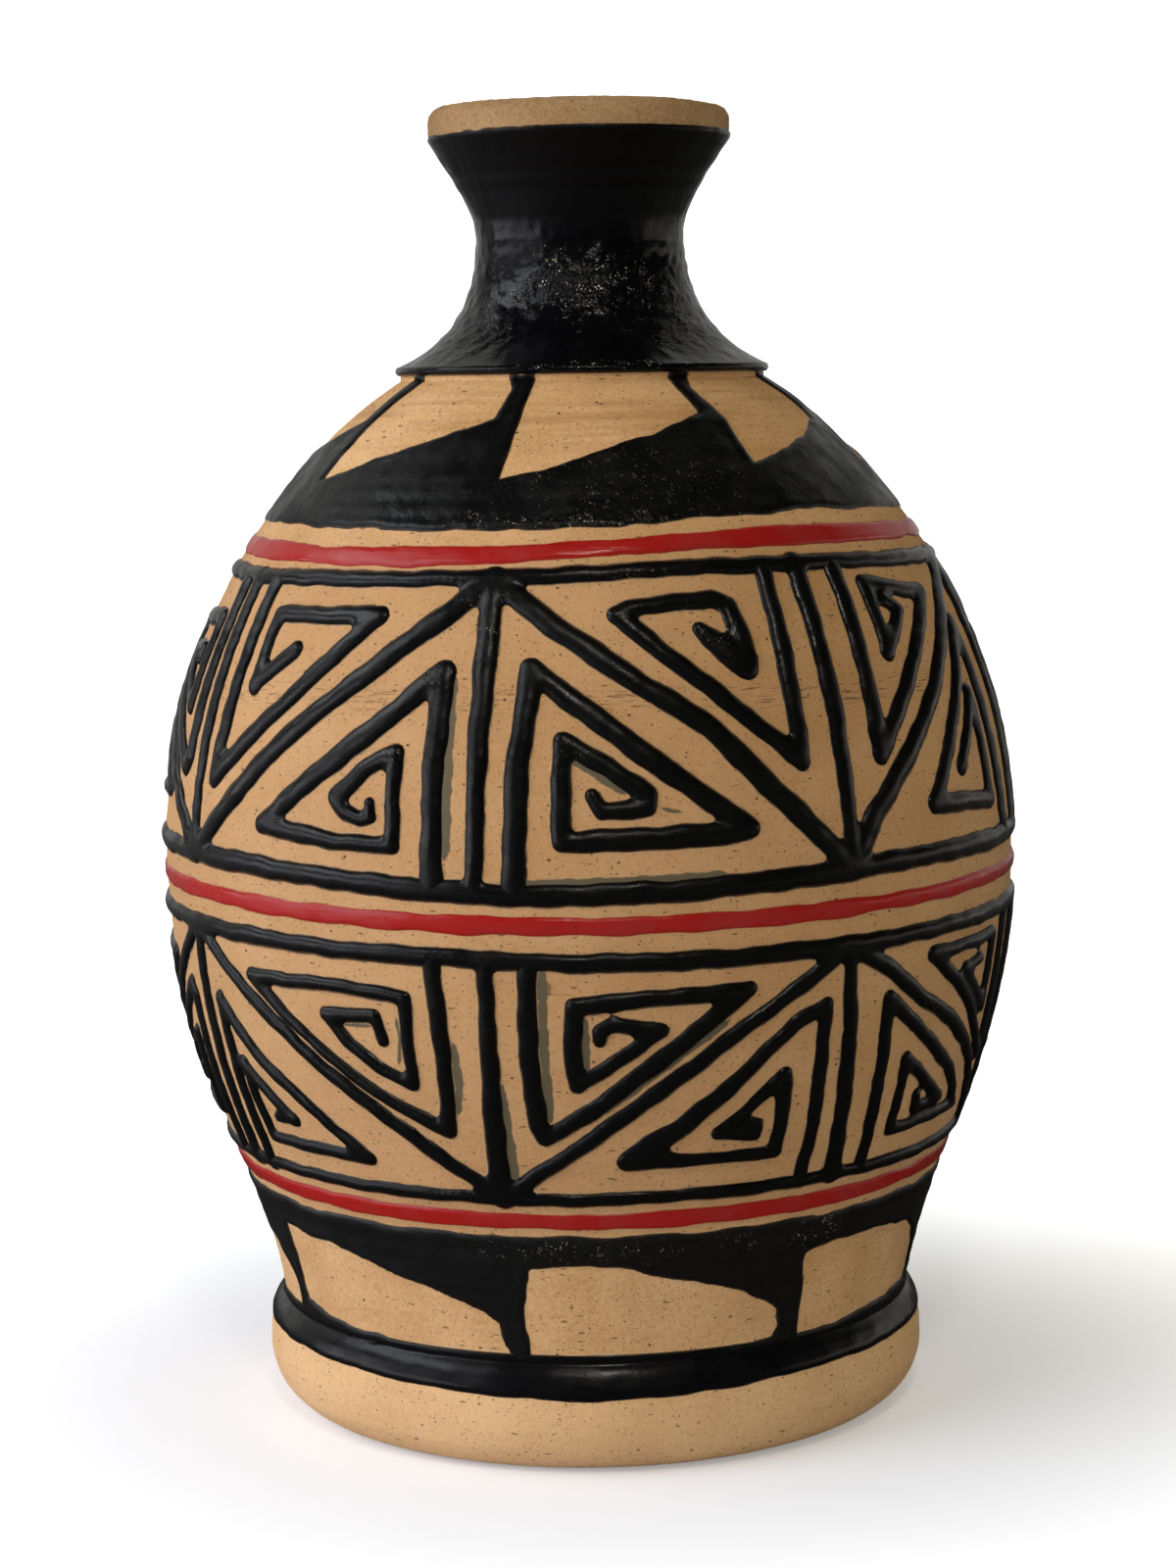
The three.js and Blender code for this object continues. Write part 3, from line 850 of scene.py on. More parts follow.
@dataclass
class Trailer:
    """Lays lines of glaze as chains of overlapping drops, and lets them flow together.

    A crotch is how far glaze fills a sharp corner between two strands, as a share of their own
    overlap. Strands at less than the shut turn run together, and at more than the sharp turn
    they don't pool.
    """

    shape: PotShape
    rise: float = 0.85
    sink: float = 0.5
    shrink: float = 0.2
    spacing_share: float = 0.45
    drop_cuts: int = 2
    handful: int = 12
    sway: float = 0.13
    sway_lengths: tuple[float, ...] = (31, 15, 8)
    swell: float = 0.06
    swell_lengths: tuple[float, ...] = (40, 17, 7)
    blob_length: float = 1.6
    node_crotch: float = 0.4
    coil_crotch: float = 0.7
    shut_turn: float = 4.0
    sharp_turn: float = 75.0
    quick_voxels: float = 1.8
    relax: int = 2
    relax_share: float = 0.5
    skin: float = 0.03
    laid: list[tuple[np.ndarray, np.ndarray]] = field(default_factory=list)

    def walk(
        self, path: Sequence[Sequence[float]], spacing: float
    ) -> tuple[np.ndarray, np.ndarray]:
        """Evenly spaced places along a path.

        Args:
            path: The places where the path turns, with their widths where they are known.
            spacing: Distance between the new places.

        Returns:
            Rows of angle, height and width, and the distances along the path.
        """
        turns = [np.array([*turn[:2], turn[2] if len(turn) > 2 else np.nan]) for turn in path]
        places, along, reached = [], [], 0.0
        for here, there in zip(turns, turns[1:]):
            halfway = (here[1] + there[1]) / 2
            round_ = math.radians(there[0] - here[0]) * float(self.shape.radius(halfway))
            up = float(self.shape.length(there[1]) - self.shape.length(here[1]))
            length = math.hypot(round_, up)
            count = max(1, math.ceil(length / spacing))
            t = np.arange(count) / count
            places.append(here + (there - here) * t[:, None])
            along.append(reached + t * length)
            reached += length
        places.append(turns[-1][None])
        along.append(np.array([reached]))
        return np.vstack(places), np.concatenate(along)

    def shifted(self, places: np.ndarray, round_: np.ndarray, up: np.ndarray) -> np.ndarray:
        """Places moved over the surface by millimetres round the pot and up the wall.

        Args:
            places: Rows that begin with angle and height.
            round_: How far each one moves round the pot.
            up: How far each one moves up the wall.

        Returns:
            Rows of angle and height.
        """
        z = self.shape.height_at(self.shape.length(places[:, 1]) + up)
        angle = places[:, 0] + np.degrees(round_ / self.shape.radius(places[:, 1]))
        return np.stack([angle, z], 1)

    def ways(self, places: np.ndarray) -> np.ndarray:
        """Directions over the surface, round the pot and up the wall, at the places of a line.

        Args:
            places: Rows that begin with angle and height.

        Returns:
            Rows of two shares of a unit length, round the pot and up the wall.
        """
        round_ = np.radians(places[:, 0]) * self.shape.radius(places[:, 1])
        flat = np.stack([round_, self.shape.length(places[:, 1])], 1)
        steps = np.gradient(flat, axis=0)
        return steps / np.maximum(np.hypot(*steps.T), BARELY)[:, None]

    def _direction(self, start: Sequence[float], end: Sequence[float]) -> np.ndarray:
        """Direction over the surface from one place to another.

        Args:
            start: The one place.
            end: The other.

        Returns:
            Two shares of a unit length, round the pot and up the wall.
        """
        round_ = math.radians(end[0] - start[0]) * float(self.shape.radius(start[1]))
        up = float(self.shape.length(end[1]) - self.shape.length(start[1]))
        size = math.hypot(round_, up) or 1.0
        return np.array([round_ / size, up / size])

    def _pool(
        self, place: Sequence[float], one: np.ndarray, other: np.ndarray, half: float, crotch: float
    ) -> list[tuple[Place, float]]:
        """Drops that fill the sharp corner between two strands.

        Args:
            place: The corner.
            one: Direction of one strand away from the corner.
            other: Direction of the other strand.
            half: Half of the strands' width.
            crotch: How far the glaze fills the corner, as a share of the strands' own overlap.

        Returns:
            Places with the half-width of the drop at each.
        """
        angle = math.acos(float(np.clip(one @ other, -1, 1)))
        if not math.radians(self.shut_turn) < angle < math.radians(self.sharp_turn):
            return []
        middle = (one + other) / np.linalg.norm(one + other)
        reach = crotch * half / math.tan(angle / 2)
        count = max(1, math.ceil(reach / (half * self.spacing_share)))
        t = np.linspace(0, reach, count + 1)
        starts = np.repeat([place[:2]], len(t), 0).astype(float)
        spots = self.shifted(starts, middle[0] * t, middle[1] * t)
        return [(tuple(spot), half) for spot in spots]

    def _drops(self, trail: Trail, draw: np.random.Generator) -> list[tuple[Place, float]]:
        """The drops of one trail, as places with a half-width.

        Args:
            trail: The trail.
            draw: The source of its random numbers.

        Returns:
            Places with the drop's half-width at each.
        """
        places, along = self.walk(trail.path, trail.width / 2 * self.spacing_share)
        ways = self.ways(places)
        off = self.sway * Sway(draw, self.sway_lengths).at(along)
        moved = self.shifted(places, -ways[:, 1] * off, ways[:, 0] * off)
        total = along[-1]
        even = trail.width * (1 + (trail.end_width - 1) * along / max(total, BARELY))
        halves = np.where(np.isnan(places[:, 2]), even, places[:, 2]) / 2
        halves = halves * (1 + self.swell * Sway(draw, self.swell_lengths).at(along))
        for distance in (along, total - along):
            blob = np.exp(-((distance / self.blob_length) ** 2))
            halves = halves * (1 + (trail.end_blob - 1) * blob)
        self.laid.append((moved, halves))
        found = [(tuple(p), float(w)) for p, w in zip(moved, halves)]
        for before, corner, after in zip(trail.path, trail.path[1:], trail.path[2:]):
            half = (corner[2] if len(corner) > 2 else trail.width) / 2
            one, other = self._direction(corner, before), self._direction(corner, after)
            found += self._pool(corner, one, other, half, self.coil_crotch)
        return found

    def _let_fall(self, drops: Sequence[tuple[Place, float]], whole: bmesh.types.BMesh) -> None:
        """Adds drops to a mesh, each a flattened ball that is partly sunk in the clay.

        Args:
            drops: Places with the drop's half-width at each.
            whole: The mesh that takes them, a handful at a time.
        """
        high = self.rise + self.sink
        spread = 1 / math.sqrt(1 - (self.sink / high) ** 2)
        for first in range(0, len(drops), self.handful):
            few = bmesh.new()
            for (angle, z), half in drops[first : first + self.handful]:
                wide = half * spread + self.shrink
                centre = self.shape.point(np.float64(angle), np.float64(z), -self.sink)
                turned = self.shape.frame(angle, z).to_4x4()
                sized = Matrix.Diagonal((wide, wide, high + self.shrink, 1 / MM)) * MM
                matrix = Matrix.Translation(Vector(centre)) @ turned @ sized
                bmesh.ops.create_icosphere(
                    few, subdivisions=self.drop_cuts, radius=1, matrix=matrix
                )
            joined(few, whole)

    def lay(
        self,
        name: str,
        trails: Sequence[Trail],
        nodes: Sequence[tuple[Place, Sequence[Place], float]],
        seed: int,
        voxel: float = 0.5,
    ) -> bpy.types.Mesh:
        """Lays trails and lets them flow into one deposit.

        Args:
            name: Name of the mesh.
            trails: The trails.
            nodes: Meeting places of strands: the place, the places that the strands run to, and
                half of their width.
            seed: Start of the random numbers.
            voxel: Size of the cells that the drops melt in.

        Returns:
            The mesh, in metres, with the depth of glaze kept at each vertex.
        """
        draw = np.random.default_rng(seed)
        whole = bmesh.new()
        for trail in trails:
            self._let_fall(self._drops(trail, draw), whole)
        for place, ends, half in nodes:
            strands = [self._direction(place, end) for end in ends]
            strands.sort(key=lambda way: math.atan2(way[1], way[0]))
            for one, other in zip(strands, strands[1:] + strands[:1]):
                self._let_fall(self._pool(place, one, other, half, self.node_crotch), whole)
        return self._flowed(whole, name, seed, voxel)

    def _flowed(self, bm: bmesh.types.BMesh, name: str, seed: int, voxel: float) -> bpy.types.Mesh:
        """Melts overlapping drops into one smooth skin.

        Args:
            bm: The drops, which are freed.
            name: Name of the mesh.
            seed: Start of the random numbers.
            voxel: Size of the cells that the drops melt in.

        Returns:
            The mesh, with the depth of glaze kept at each vertex.
        """
        source = bpy.data.meshes.new(f"{name}_drops")
        bm.to_mesh(source)
        bm.free()
        holder = bpy.data.objects.new(f"{name}_drops", source)
        bpy.context.scene.collection.objects.link(holder)
        melt = holder.modifiers.new("melt", "REMESH")
        melt.mode = "VOXEL"
        melt.voxel_size = voxel * MM * 1
        bpy.context.view_layer.update()
        melted = bpy.data.meshes.new_from_object(
            holder.evaluated_get(bpy.context.evaluated_depsgraph_get())
        )
        bpy.data.objects.remove(holder)
        bpy.data.meshes.remove(source)
        bm = bmesh.new()
        bm.from_mesh(melted)
        bpy.data.meshes.remove(melted)
        for _ in range(self.relax):
            bmesh.ops.smooth_vert(
                bm,
                verts=bm.verts,
                factor=self.relax_share,
                use_axis_x=True,
                use_axis_y=True,
                use_axis_z=True,
            )
        mesh = to_mesh(bm, name)
        points = corners_of(mesh)
        angle, z, lift = self.shape.place(points)
        skin = Ripple(seed, rounds=(25, 110), lengths=(4, 14), count=18).at(angle, z)
        lift = lift + self.skin * skin * np.clip(lift, 0, 1)
        set_corners(mesh, self.shape.point(angle, z, lift))
        mark(mesh, "glaze_depth", lift)
        return mesh


@dataclass(frozen=True)
class Frieze:
    """One band of zigzag and coils between two borders.

    A turn is an upright with the zigzag's corner on it, by its angles at the top and the bottom.
    A slant has the places between two corners that the line passes through. The coil shares give
    the common coil: how far across the cell and how far from the border it turns, as shares of
    the cell, and its width as a share of the coils' width.
    """

    name: str
    top: tuple[Place, ...]
    bottom: tuple[Place, ...]
    turns: tuple[tuple[float, float], ...]
    first_turn_low: bool
    slants: dict[int, tuple[Place, ...]]
    coils: dict[str, tuple[tuple[float, ...], ...]]
    seed: int
    voxel: float = 0.57
    top_width: float = 3.2
    bottom_width: float = 3.9
    upright_width: float = 4.3
    upright_growth: float = 0.72
    slant_width: float = 4.1
    coil_width: float = 4.1
    coil_growth: float = 0.78
    coil_shares: tuple[tuple[float, float, float], ...] = (
        (0.11, 0.03, 1.0),
        (0.115, 0.67, 0.95),
        (0.135, 0.715, 0.95),
        (0.42, 0.45, 0.88),
        (0.685, 0.19, 0.88),
        (0.225, 0.16, 0.85),
        (0.225, 0.495, 0.78),
        (0.34, 0.405, 0.72),
        (0.44, 0.315, 0.76),
        (0.425, 0.287, 0.66),
        (0.325, 0.275, 0.58),
        (0.312, 0.33, 0.46),
    )
    jitter: float = 0.004
    ring_step: int = 4
    beside: float = 5.0
    seeds_per_turn: int = 10
    seeds_per_stand: int = 7

    def _ring(self, knots: Sequence[Place]) -> tuple[Place, ...]:
        """A border as a path that goes once round the pot."""
        angles = np.arange(-180, 181, self.ring_step)
        return tuple((float(angle), edge_height(knots, angle)) for angle in angles)

    def _is_low(self, turn: int) -> bool:
        """Whether the zigzag touches the bottom border at a turn."""
        return (turn % 2 == 0) == self.first_turn_low

    def _node(self, turn: int) -> Place:
        """The place where the zigzag turns.

        Args:
            turn: The number of the turn.

        Returns:
            The place.
        """
        rounds, wrapped = divmod(turn, len(self.turns))
        low = self._is_low(turn)
        angle = self.turns[wrapped][1 if low else 0] + 360 * rounds
        return angle, edge_height(self.bottom if low else self.top, angle)

    def _lines(self, trailer: Trailer, material: bpy.types.Material) -> None:
        """The borders, the uprights and the zigzag.

        Args:
            trailer: The trailer that lays them.
            material: The glaze's finish.
        """
        trails = [
            Trail(self._ring(self.top), self.top_width),
            Trail(self._ring(self.bottom), self.bottom_width),
        ]
        nodes = []
        for turn, (at_top, at_bottom) in enumerate(self.turns):
            foot = (at_bottom, edge_height(self.bottom, at_bottom))
            head = (at_top, edge_height(self.top, at_top))
            trails.append(Trail((head, foot), self.upright_width, end_width=self.upright_growth))
            before, here, after = (self._node(turn + step) for step in (-1, 0, 1))
            trails.append(Trail((here, *self.slants.get(turn, ()), after), self.slant_width))
            other = head if self._is_low(turn) else foot
            beside = [(here[0] + aside, here[1]) for aside in (-self.beside, self.beside)]
            nodes.append((here, [before, after, other, *beside], self.slant_width / 2))
        mesh = trailer.lay(f"{self.name}_lines", trails, nodes, self.seed, self.voxel)
        seat(mesh, f"{self.name}_lines", material, [f"{self.name}_frieze_lines"])

    def _coil_path(self, stand: float, far: float, border: Border) -> tuple[tuple[float, ...], ...]:
        """The path of a coil that follows the common form.

        Args:
            stand: Angle of the upright that the coil stands beside.
            far: Angle of the next upright.
            border: The border that its stem grows from.

        Returns:
            The places where the coil turns, with its width at each.
        """
        knots = self.top if border is Border.TOP else self.bottom
        draw = np.random.default_rng(self.seed + round(stand * self.seeds_per_stand + far))
        path = []
        for across, away, width in self.coil_shares:
            angle = stand + (far - stand) * (across + draw.normal(0, self.jitter))
            height = edge_height(self.top, angle) - edge_height(self.bottom, angle)
            lift = border.value * (away + draw.normal(0, self.jitter)) * height
            path.append((angle, edge_height(knots, angle) + lift, width * self.coil_width))
        return tuple(path)

    def build(self, trailer: Trailer, material: bpy.types.Material) -> None:
        """Builds and seats the lines and the sixteen coils.

        Args:
            trailer: The trailer that lays them.
            material: The glaze's finish.
        """
        self._lines(trailer, material)
        for turn in range(len(self.turns)):
            here, there = self._node(turn)[0], self._node(turn + 1)[0]
            low = self._is_low(turn)
            for letter, stand, far, border in (
                ("a", here, there, Border.TOP if low else Border.BOTTOM),
                ("b", there, here, Border.BOTTOM if low else Border.TOP),
            ):
                key = f"{turn + 1}{letter}"
                path = self.coils.get(key) or self._coil_path(stand, far, border)
                name = f"{self.name}_coil_{key}"
                trail = Trail(path, self.coil_width, end_width=self.coil_growth)
                seed = self.seed + self.seeds_per_turn * turn + ord(letter)
                mesh = trailer.lay(name, [trail], [], seed)
                seat(mesh, f"{self.name}_trail_{key}", material, [name])


@dataclass(frozen=True)
class ThinRuns:
    """Thin runs of glaze on the clay: the lines' feathered edges, or strips of an earlier coat.

    Each strip is its places and the half-width at each.
    """

    name: str
    shape: PotShape
    rise: float = 0.09
    dip: float = 0.02
    sunk: float = 0.4
    across: int = 6
    squareness: int = 6

    def build(
        self,
        trailer: Trailer,
        strips: Sequence[tuple[np.ndarray, np.ndarray]],
        spread: float,
        material: bpy.types.Material,
    ) -> None:
        """Builds and seats the strips.

        Args:
            trailer: Used to find the directions over the surface.
            strips: The places of each strip with its half-widths.
            spread: Distance that the run reaches beyond the half-width.
            material: The finish.
        """
        whole = bmesh.new()
        for places, halves in strips:
            ways = trailer.ways(places)
            strip = bmesh.new()
            last = len(places) - 1
            bmesh.ops.create_grid(strip, x_segments=last, y_segments=self.across, size=0.5)
            grown = bmesh.ops.extrude_face_region(strip, geom=strip.faces, use_keep_orig=True)
            under = [item for item in grown["geom"] if isinstance(item, bmesh.types.BMVert)]
            bmesh.ops.translate(strip, verts=under, vec=(0, 0, -1))
            bmesh.ops.recalc_face_normals(strip, faces=strip.faces)
            at = np.array([vert.co for vert in strip.verts])
            i = np.rint((at[:, 0] + 0.5) * last).astype(int)
            share = np.sin(at[:, 1] * math.pi)
            reach = halves[i] + spread
            side = share * reach
            spots = trailer.shifted(places[i], -ways[i, 1] * side, ways[i, 0] * side)
            lift = self.rise * (1 - share**self.squareness) - self.dip + at[:, 2] * self.sunk
            depth = strip.verts.layers.float.new("glaze_depth")
            points = self.shape.point(spots[:, 0], spots[:, 1], lift)
            for vert, point, inside in zip(strip.verts, points, reach * (1 - np.abs(share))):
                vert.co = Vector(point)
                vert[depth] = inside
            joined(strip, whole)
        seat(to_mesh(whole, self.name), self.name, material, [])


# ---------------------------------------------------------------- finishes


def srgb(red: int, green: int, blue: int) -> tuple[float, float, float, float]:
    """A screen colour, 0 to 255 a channel, as the linear colour that a shader takes.

    Args:
        red: Red.
        green: Green.
        blue: Blue.

    Returns:
        Red, green and blue as linear shares, and an alpha of 1.
    """

    def linear(value: int) -> float:
        """One channel as a linear share."""
        share = value / 255
        return share / 12.92 if share <= 0.04045 else ((share + 0.055) / 1.055) ** 2.4

    return linear(red), linear(green), linear(blue), 1.0


Feed = bpy.types.NodeSocket | float | tuple[float, ...]


class Wiring:
    """Adds nodes to a tree and joins them, so that a finish reads from top to bottom."""

    def __init__(self, tree: bpy.types.NodeTree):
        """Starts with a tree."""
        self.tree = tree

    def node(
        self, kind: str, feeds: dict[str | int, Feed] | None = None, **settings
    ) -> bpy.types.Node:
        """Adds a node.

        Args:
            kind: The node's type.
            feeds: What goes into its inputs, by name or number.
            **settings: Its properties.

        Returns:
            The node.
        """
        made = self.tree.nodes.new(kind)
        for name, value in settings.items():
            setattr(made, name, value)
        self.feeds(made, feeds or {})
        return made

    def feeds(self, node: bpy.types.Node, values: dict[str | int, Feed]) -> None:
        """Joins a node's inputs, by name or number, or sets the inputs' own values.

        Args:
            node: The node.
            values: A socket or a value for each input.
        """
        for key, value in values.items():
            if isinstance(value, bpy.types.NodeSocket):
                self.tree.links.new(value, node.inputs[key])
            else:
                node.inputs[key].default_value = value

    def math(self, operation: str, a: Feed, b: Feed = 0.0, c: Feed = 0.0) -> bpy.types.NodeSocket:
        """A sum, product or other plain operation on numbers."""
        return self.node("ShaderNodeMath", {0: a, 1: b, 2: c}, operation=operation).outputs[0]

    def times(self, a: Feed, b: Feed) -> bpy.types.NodeSocket:
        """The product of two numbers."""
        return self.math("MULTIPLY", a, b)

    def plus(self, a: Feed, b: Feed) -> bpy.types.NodeSocket:
        """The sum of two numbers."""
        return self.math("ADD", a, b)

    def most(self, a: Feed, b: Feed) -> bpy.types.NodeSocket:
        """The larger of two numbers."""
        return self.math("MAXIMUM", a, b)

    def smooth(
        self, value: Feed, low: Feed, high: Feed, start: Feed = 0.0, end: Feed = 1.0
    ) -> bpy.types.NodeSocket:
        """Runs smoothly from start to end as value goes from low to high."""
        feeds = {"Value": value, "From Min": low, "From Max": high, "To Min": start, "To Max": end}
        return self.node("ShaderNodeMapRange", feeds, interpolation_type="SMOOTHSTEP").outputs[0]

    def mix(self, share: Feed, a: Feed, b: Feed) -> bpy.types.NodeSocket:
        """A mix of two colours."""
        return self.node("ShaderNodeMix", {0: share, 6: a, 7: b}, data_type="RGBA").outputs[2]

    def vector(self, operation: str, a: Feed, b: Feed = (0.0, 0.0, 0.0)) -> bpy.types.Node:
        """A plain operation on positions."""
        return self.node("ShaderNodeVectorMath", {0: a, 1: b}, operation=operation)

    def stretched(self, place: Feed, by: tuple[float, float, float]) -> bpy.types.NodeSocket:
        """A position multiplied channel by channel."""
        return self.vector("MULTIPLY", place, by).outputs[0]

    def length(self, place: Feed) -> bpy.types.NodeSocket:
        """How far a position is from nought."""
        return self.vector("LENGTH", place).outputs["Value"]

    def noise(
        self, place: Feed, scale: float, detail: float = 2.0, roughness: float = 0.5
    ) -> bpy.types.NodeSocket:
        """A cloudy number from 0 to 1."""
        feeds = {"Vector": place, "Scale": scale, "Detail": detail, "Roughness": roughness}
        return self.node("ShaderNodeTexNoise", feeds).outputs[0]

    def group(self, tree: bpy.types.NodeTree, feeds: dict[str, Feed]) -> bpy.types.Node:
        """Places a node group."""
        return self.node("ShaderNodeGroup", feeds, node_tree=tree)

    def surface(
        self, shader: bpy.types.Node, colour: Feed, roughness: Feed, reflect: float, height: Feed
    ) -> None:
        """Feeds a shader.

        Args:
            shader: The Principled shader.
            colour: Its colour.
            roughness: Its roughness.
            reflect: How much it mirrors.
            height: Its small relief, in millimetres.
        """
        bump = self.node("ShaderNodeBump", {"Height": height, "Distance": MM}).outputs[0]
        feeds = {"Base Color": colour, "Roughness": roughness, "Specular IOR Level": reflect}
        self.feeds(shader, {**feeds, "Normal": bump})


def new_group(
    name: str, inputs: dict[str, str], outputs: dict[str, str]
) -> tuple[Wiring, bpy.types.Node, bpy.types.Node]:
    """Starts a node group.

    Args:
        name: The group's name.
        inputs: Socket types by input name.
        outputs: Socket types by output name.

    Returns:
        The wiring, the group's input node and its output node.
    """
    tree = bpy.data.node_groups.new(name, "ShaderNodeTree")
    for label, kind in inputs.items():
        tree.interface.new_socket(name=label, in_out="INPUT", socket_type=kind)
    for label, kind in outputs.items():
        tree.interface.new_socket(name=label, in_out="OUTPUT", socket_type=kind)
    wiring = Wiring(tree)
    return wiring, wiring.node("NodeGroupInput"), wiring.node("NodeGroupOutput")


FLOAT = "NodeSocketFloat"
VECTOR = "NodeSocketVector"


@lru_cache
def speck_group() -> bpy.types.NodeTree:
    """Round specks of mixed size, scattered through the clay."""
    w, given, out = new_group(
        "specks",
        {"Place": VECTOR, "Spacing": FLOAT, "Share": FLOAT, "Radius": FLOAT},
        {"Mask": FLOAT},
    )
    place, spacing, share, radius = given.outputs[:4]
    scale = w.math("DIVIDE", 1.0, spacing)
    cell = w.node("ShaderNodeTexVoronoi", {"Vector": place, "Scale": scale})
    picks = w.node("ShaderNodeSeparateColor", {0: cell.outputs["Color"]})
    distance = w.times(cell.outputs["Distance"], spacing)
    reach = w.times(w.smooth(picks.outputs[1], 0.0, 1.0, 0.45, 1.25), radius)
    round_ = w.smooth(distance, reach, w.times(reach, 0.45))
    chosen = w.math("LESS_THAN", picks.outputs[0], share)
    w.feeds(out, {"Mask": w.times(round_, chosen)})
    return w.tree


@lru_cache
def streak_group() -> bpy.types.NodeTree:
    """Level streaks and fine lines that turning on the wheel leaves."""
    w, given, out = new_group(
        "wheel_streaks", {"Place": VECTOR}, {"Broad": FLOAT, "Fine": FLOAT, "Dashes": FLOAT}
    )
    place = given.outputs["Place"]
    broad_place = w.stretched(place, (0.035, 0.035, 0.75))
    broad = w.smooth(w.noise(broad_place, 1.0, detail=4.0, roughness=0.6), 0.45, 0.72)
    fine_place = w.stretched(place, (0.06, 0.06, 3.2))
    fine = w.noise(fine_place, 1.0, detail=3.0, roughness=0.6)
    dash_place = w.stretched(place, (0.22, 0.22, 5.5))
    dashes = w.smooth(w.noise(dash_place, 1.0), 0.6, 0.66)
    w.feeds(out, {"Broad": broad, "Fine": fine, "Dashes": dashes})
    return w.tree


@lru_cache
def zone_group() -> bpy.types.NodeTree:
    """A soft ragged zone round a point."""
    inputs = {"Place": VECTOR, "Centre": VECTOR, "Reach": VECTOR}
    w, given, out = new_group("zone", inputs, {"Mask": FLOAT})
    place, centre, reach = given.outputs[:3]
    apart = w.vector("SUBTRACT", place, centre).outputs[0]
    size = w.length(w.vector("DIVIDE", apart, reach).outputs[0])
    ragged = w.math("MULTIPLY_ADD", w.noise(place, 0.22, detail=3.0), 1.3, -0.65)
    w.feeds(out, {"Mask": w.smooth(w.plus(size, ragged), 1.0, 0.25)})
    return w.tree


@lru_cache
def skin_group() -> bpy.types.NodeTree:
    """The unevenness of a fired glaze: waves, a fine grain, and crumpled rough zones."""
    w, given, out = new_group(
        "glaze_skin",
        {"Place": VECTOR, "Waves": FLOAT, "Grain": FLOAT, "Crumple": FLOAT},
        {"Height": FLOAT, "Dull": FLOAT},
    )
    place, waves, grain, crumple = given.outputs[:4]
    waved = w.times(w.noise(place, 0.35), waves)
    grained = w.times(w.noise(place, 2.6), grain)
    crumpled = w.times(w.noise(place, 0.7, detail=3.0, roughness=0.6), crumple)
    total = w.plus(w.plus(waved, grained), crumpled)
    w.feeds(out, {"Height": total, "Dull": w.noise(place, 0.13, detail=3.0)})
    return w.tree


def new_material(name: str) -> tuple[Wiring, bpy.types.Node, bpy.types.NodeSocket]:
    """Starts a material.

    Args:
        name: The material's name.

    Returns:
        The wiring, the Principled shader, and the position in millimetres.
    """
    material = bpy.data.materials.new(name)
    material.use_nodes = True
    material.node_tree.nodes.clear()
    w = Wiring(material.node_tree)
    shader = w.node("ShaderNodeBsdfPrincipled")
    w.node("ShaderNodeOutputMaterial", {0: shader.outputs[0]})
    at = w.node("ShaderNodeTexCoord").outputs["Object"]
    scaled = w.node("ShaderNodeVectorMath", {0: at, "Scale": 1 / MM}, operation="SCALE")
    return w, shader, scaled.outputs[0]


@dataclass(frozen=True)
class Specks:
    """A layer of specks, one at most in each cell of the spacing.

    The share is of the cells that hold one, and the weight is how much it covers.
    """

    spacing: float
    share: float
    radius: float
    weight: float = 1.0

    def mask(self, w: Wiring, place: Feed, strength: float = 1.0) -> bpy.types.NodeSocket:
        """Where the specks are, from 0 to their weight times the strength.

        Args:
            w: The material's wiring.
            place: The position in millimetres.
            strength: A factor on the weight.

        Returns:
            The mask.
        """
        feeds = {
            "Place": place,
            "Spacing": self.spacing,
            "Share": self.share,
            "Radius": self.radius,
        }
        return w.times(w.group(speck_group(), feeds).outputs[0], self.weight * strength)


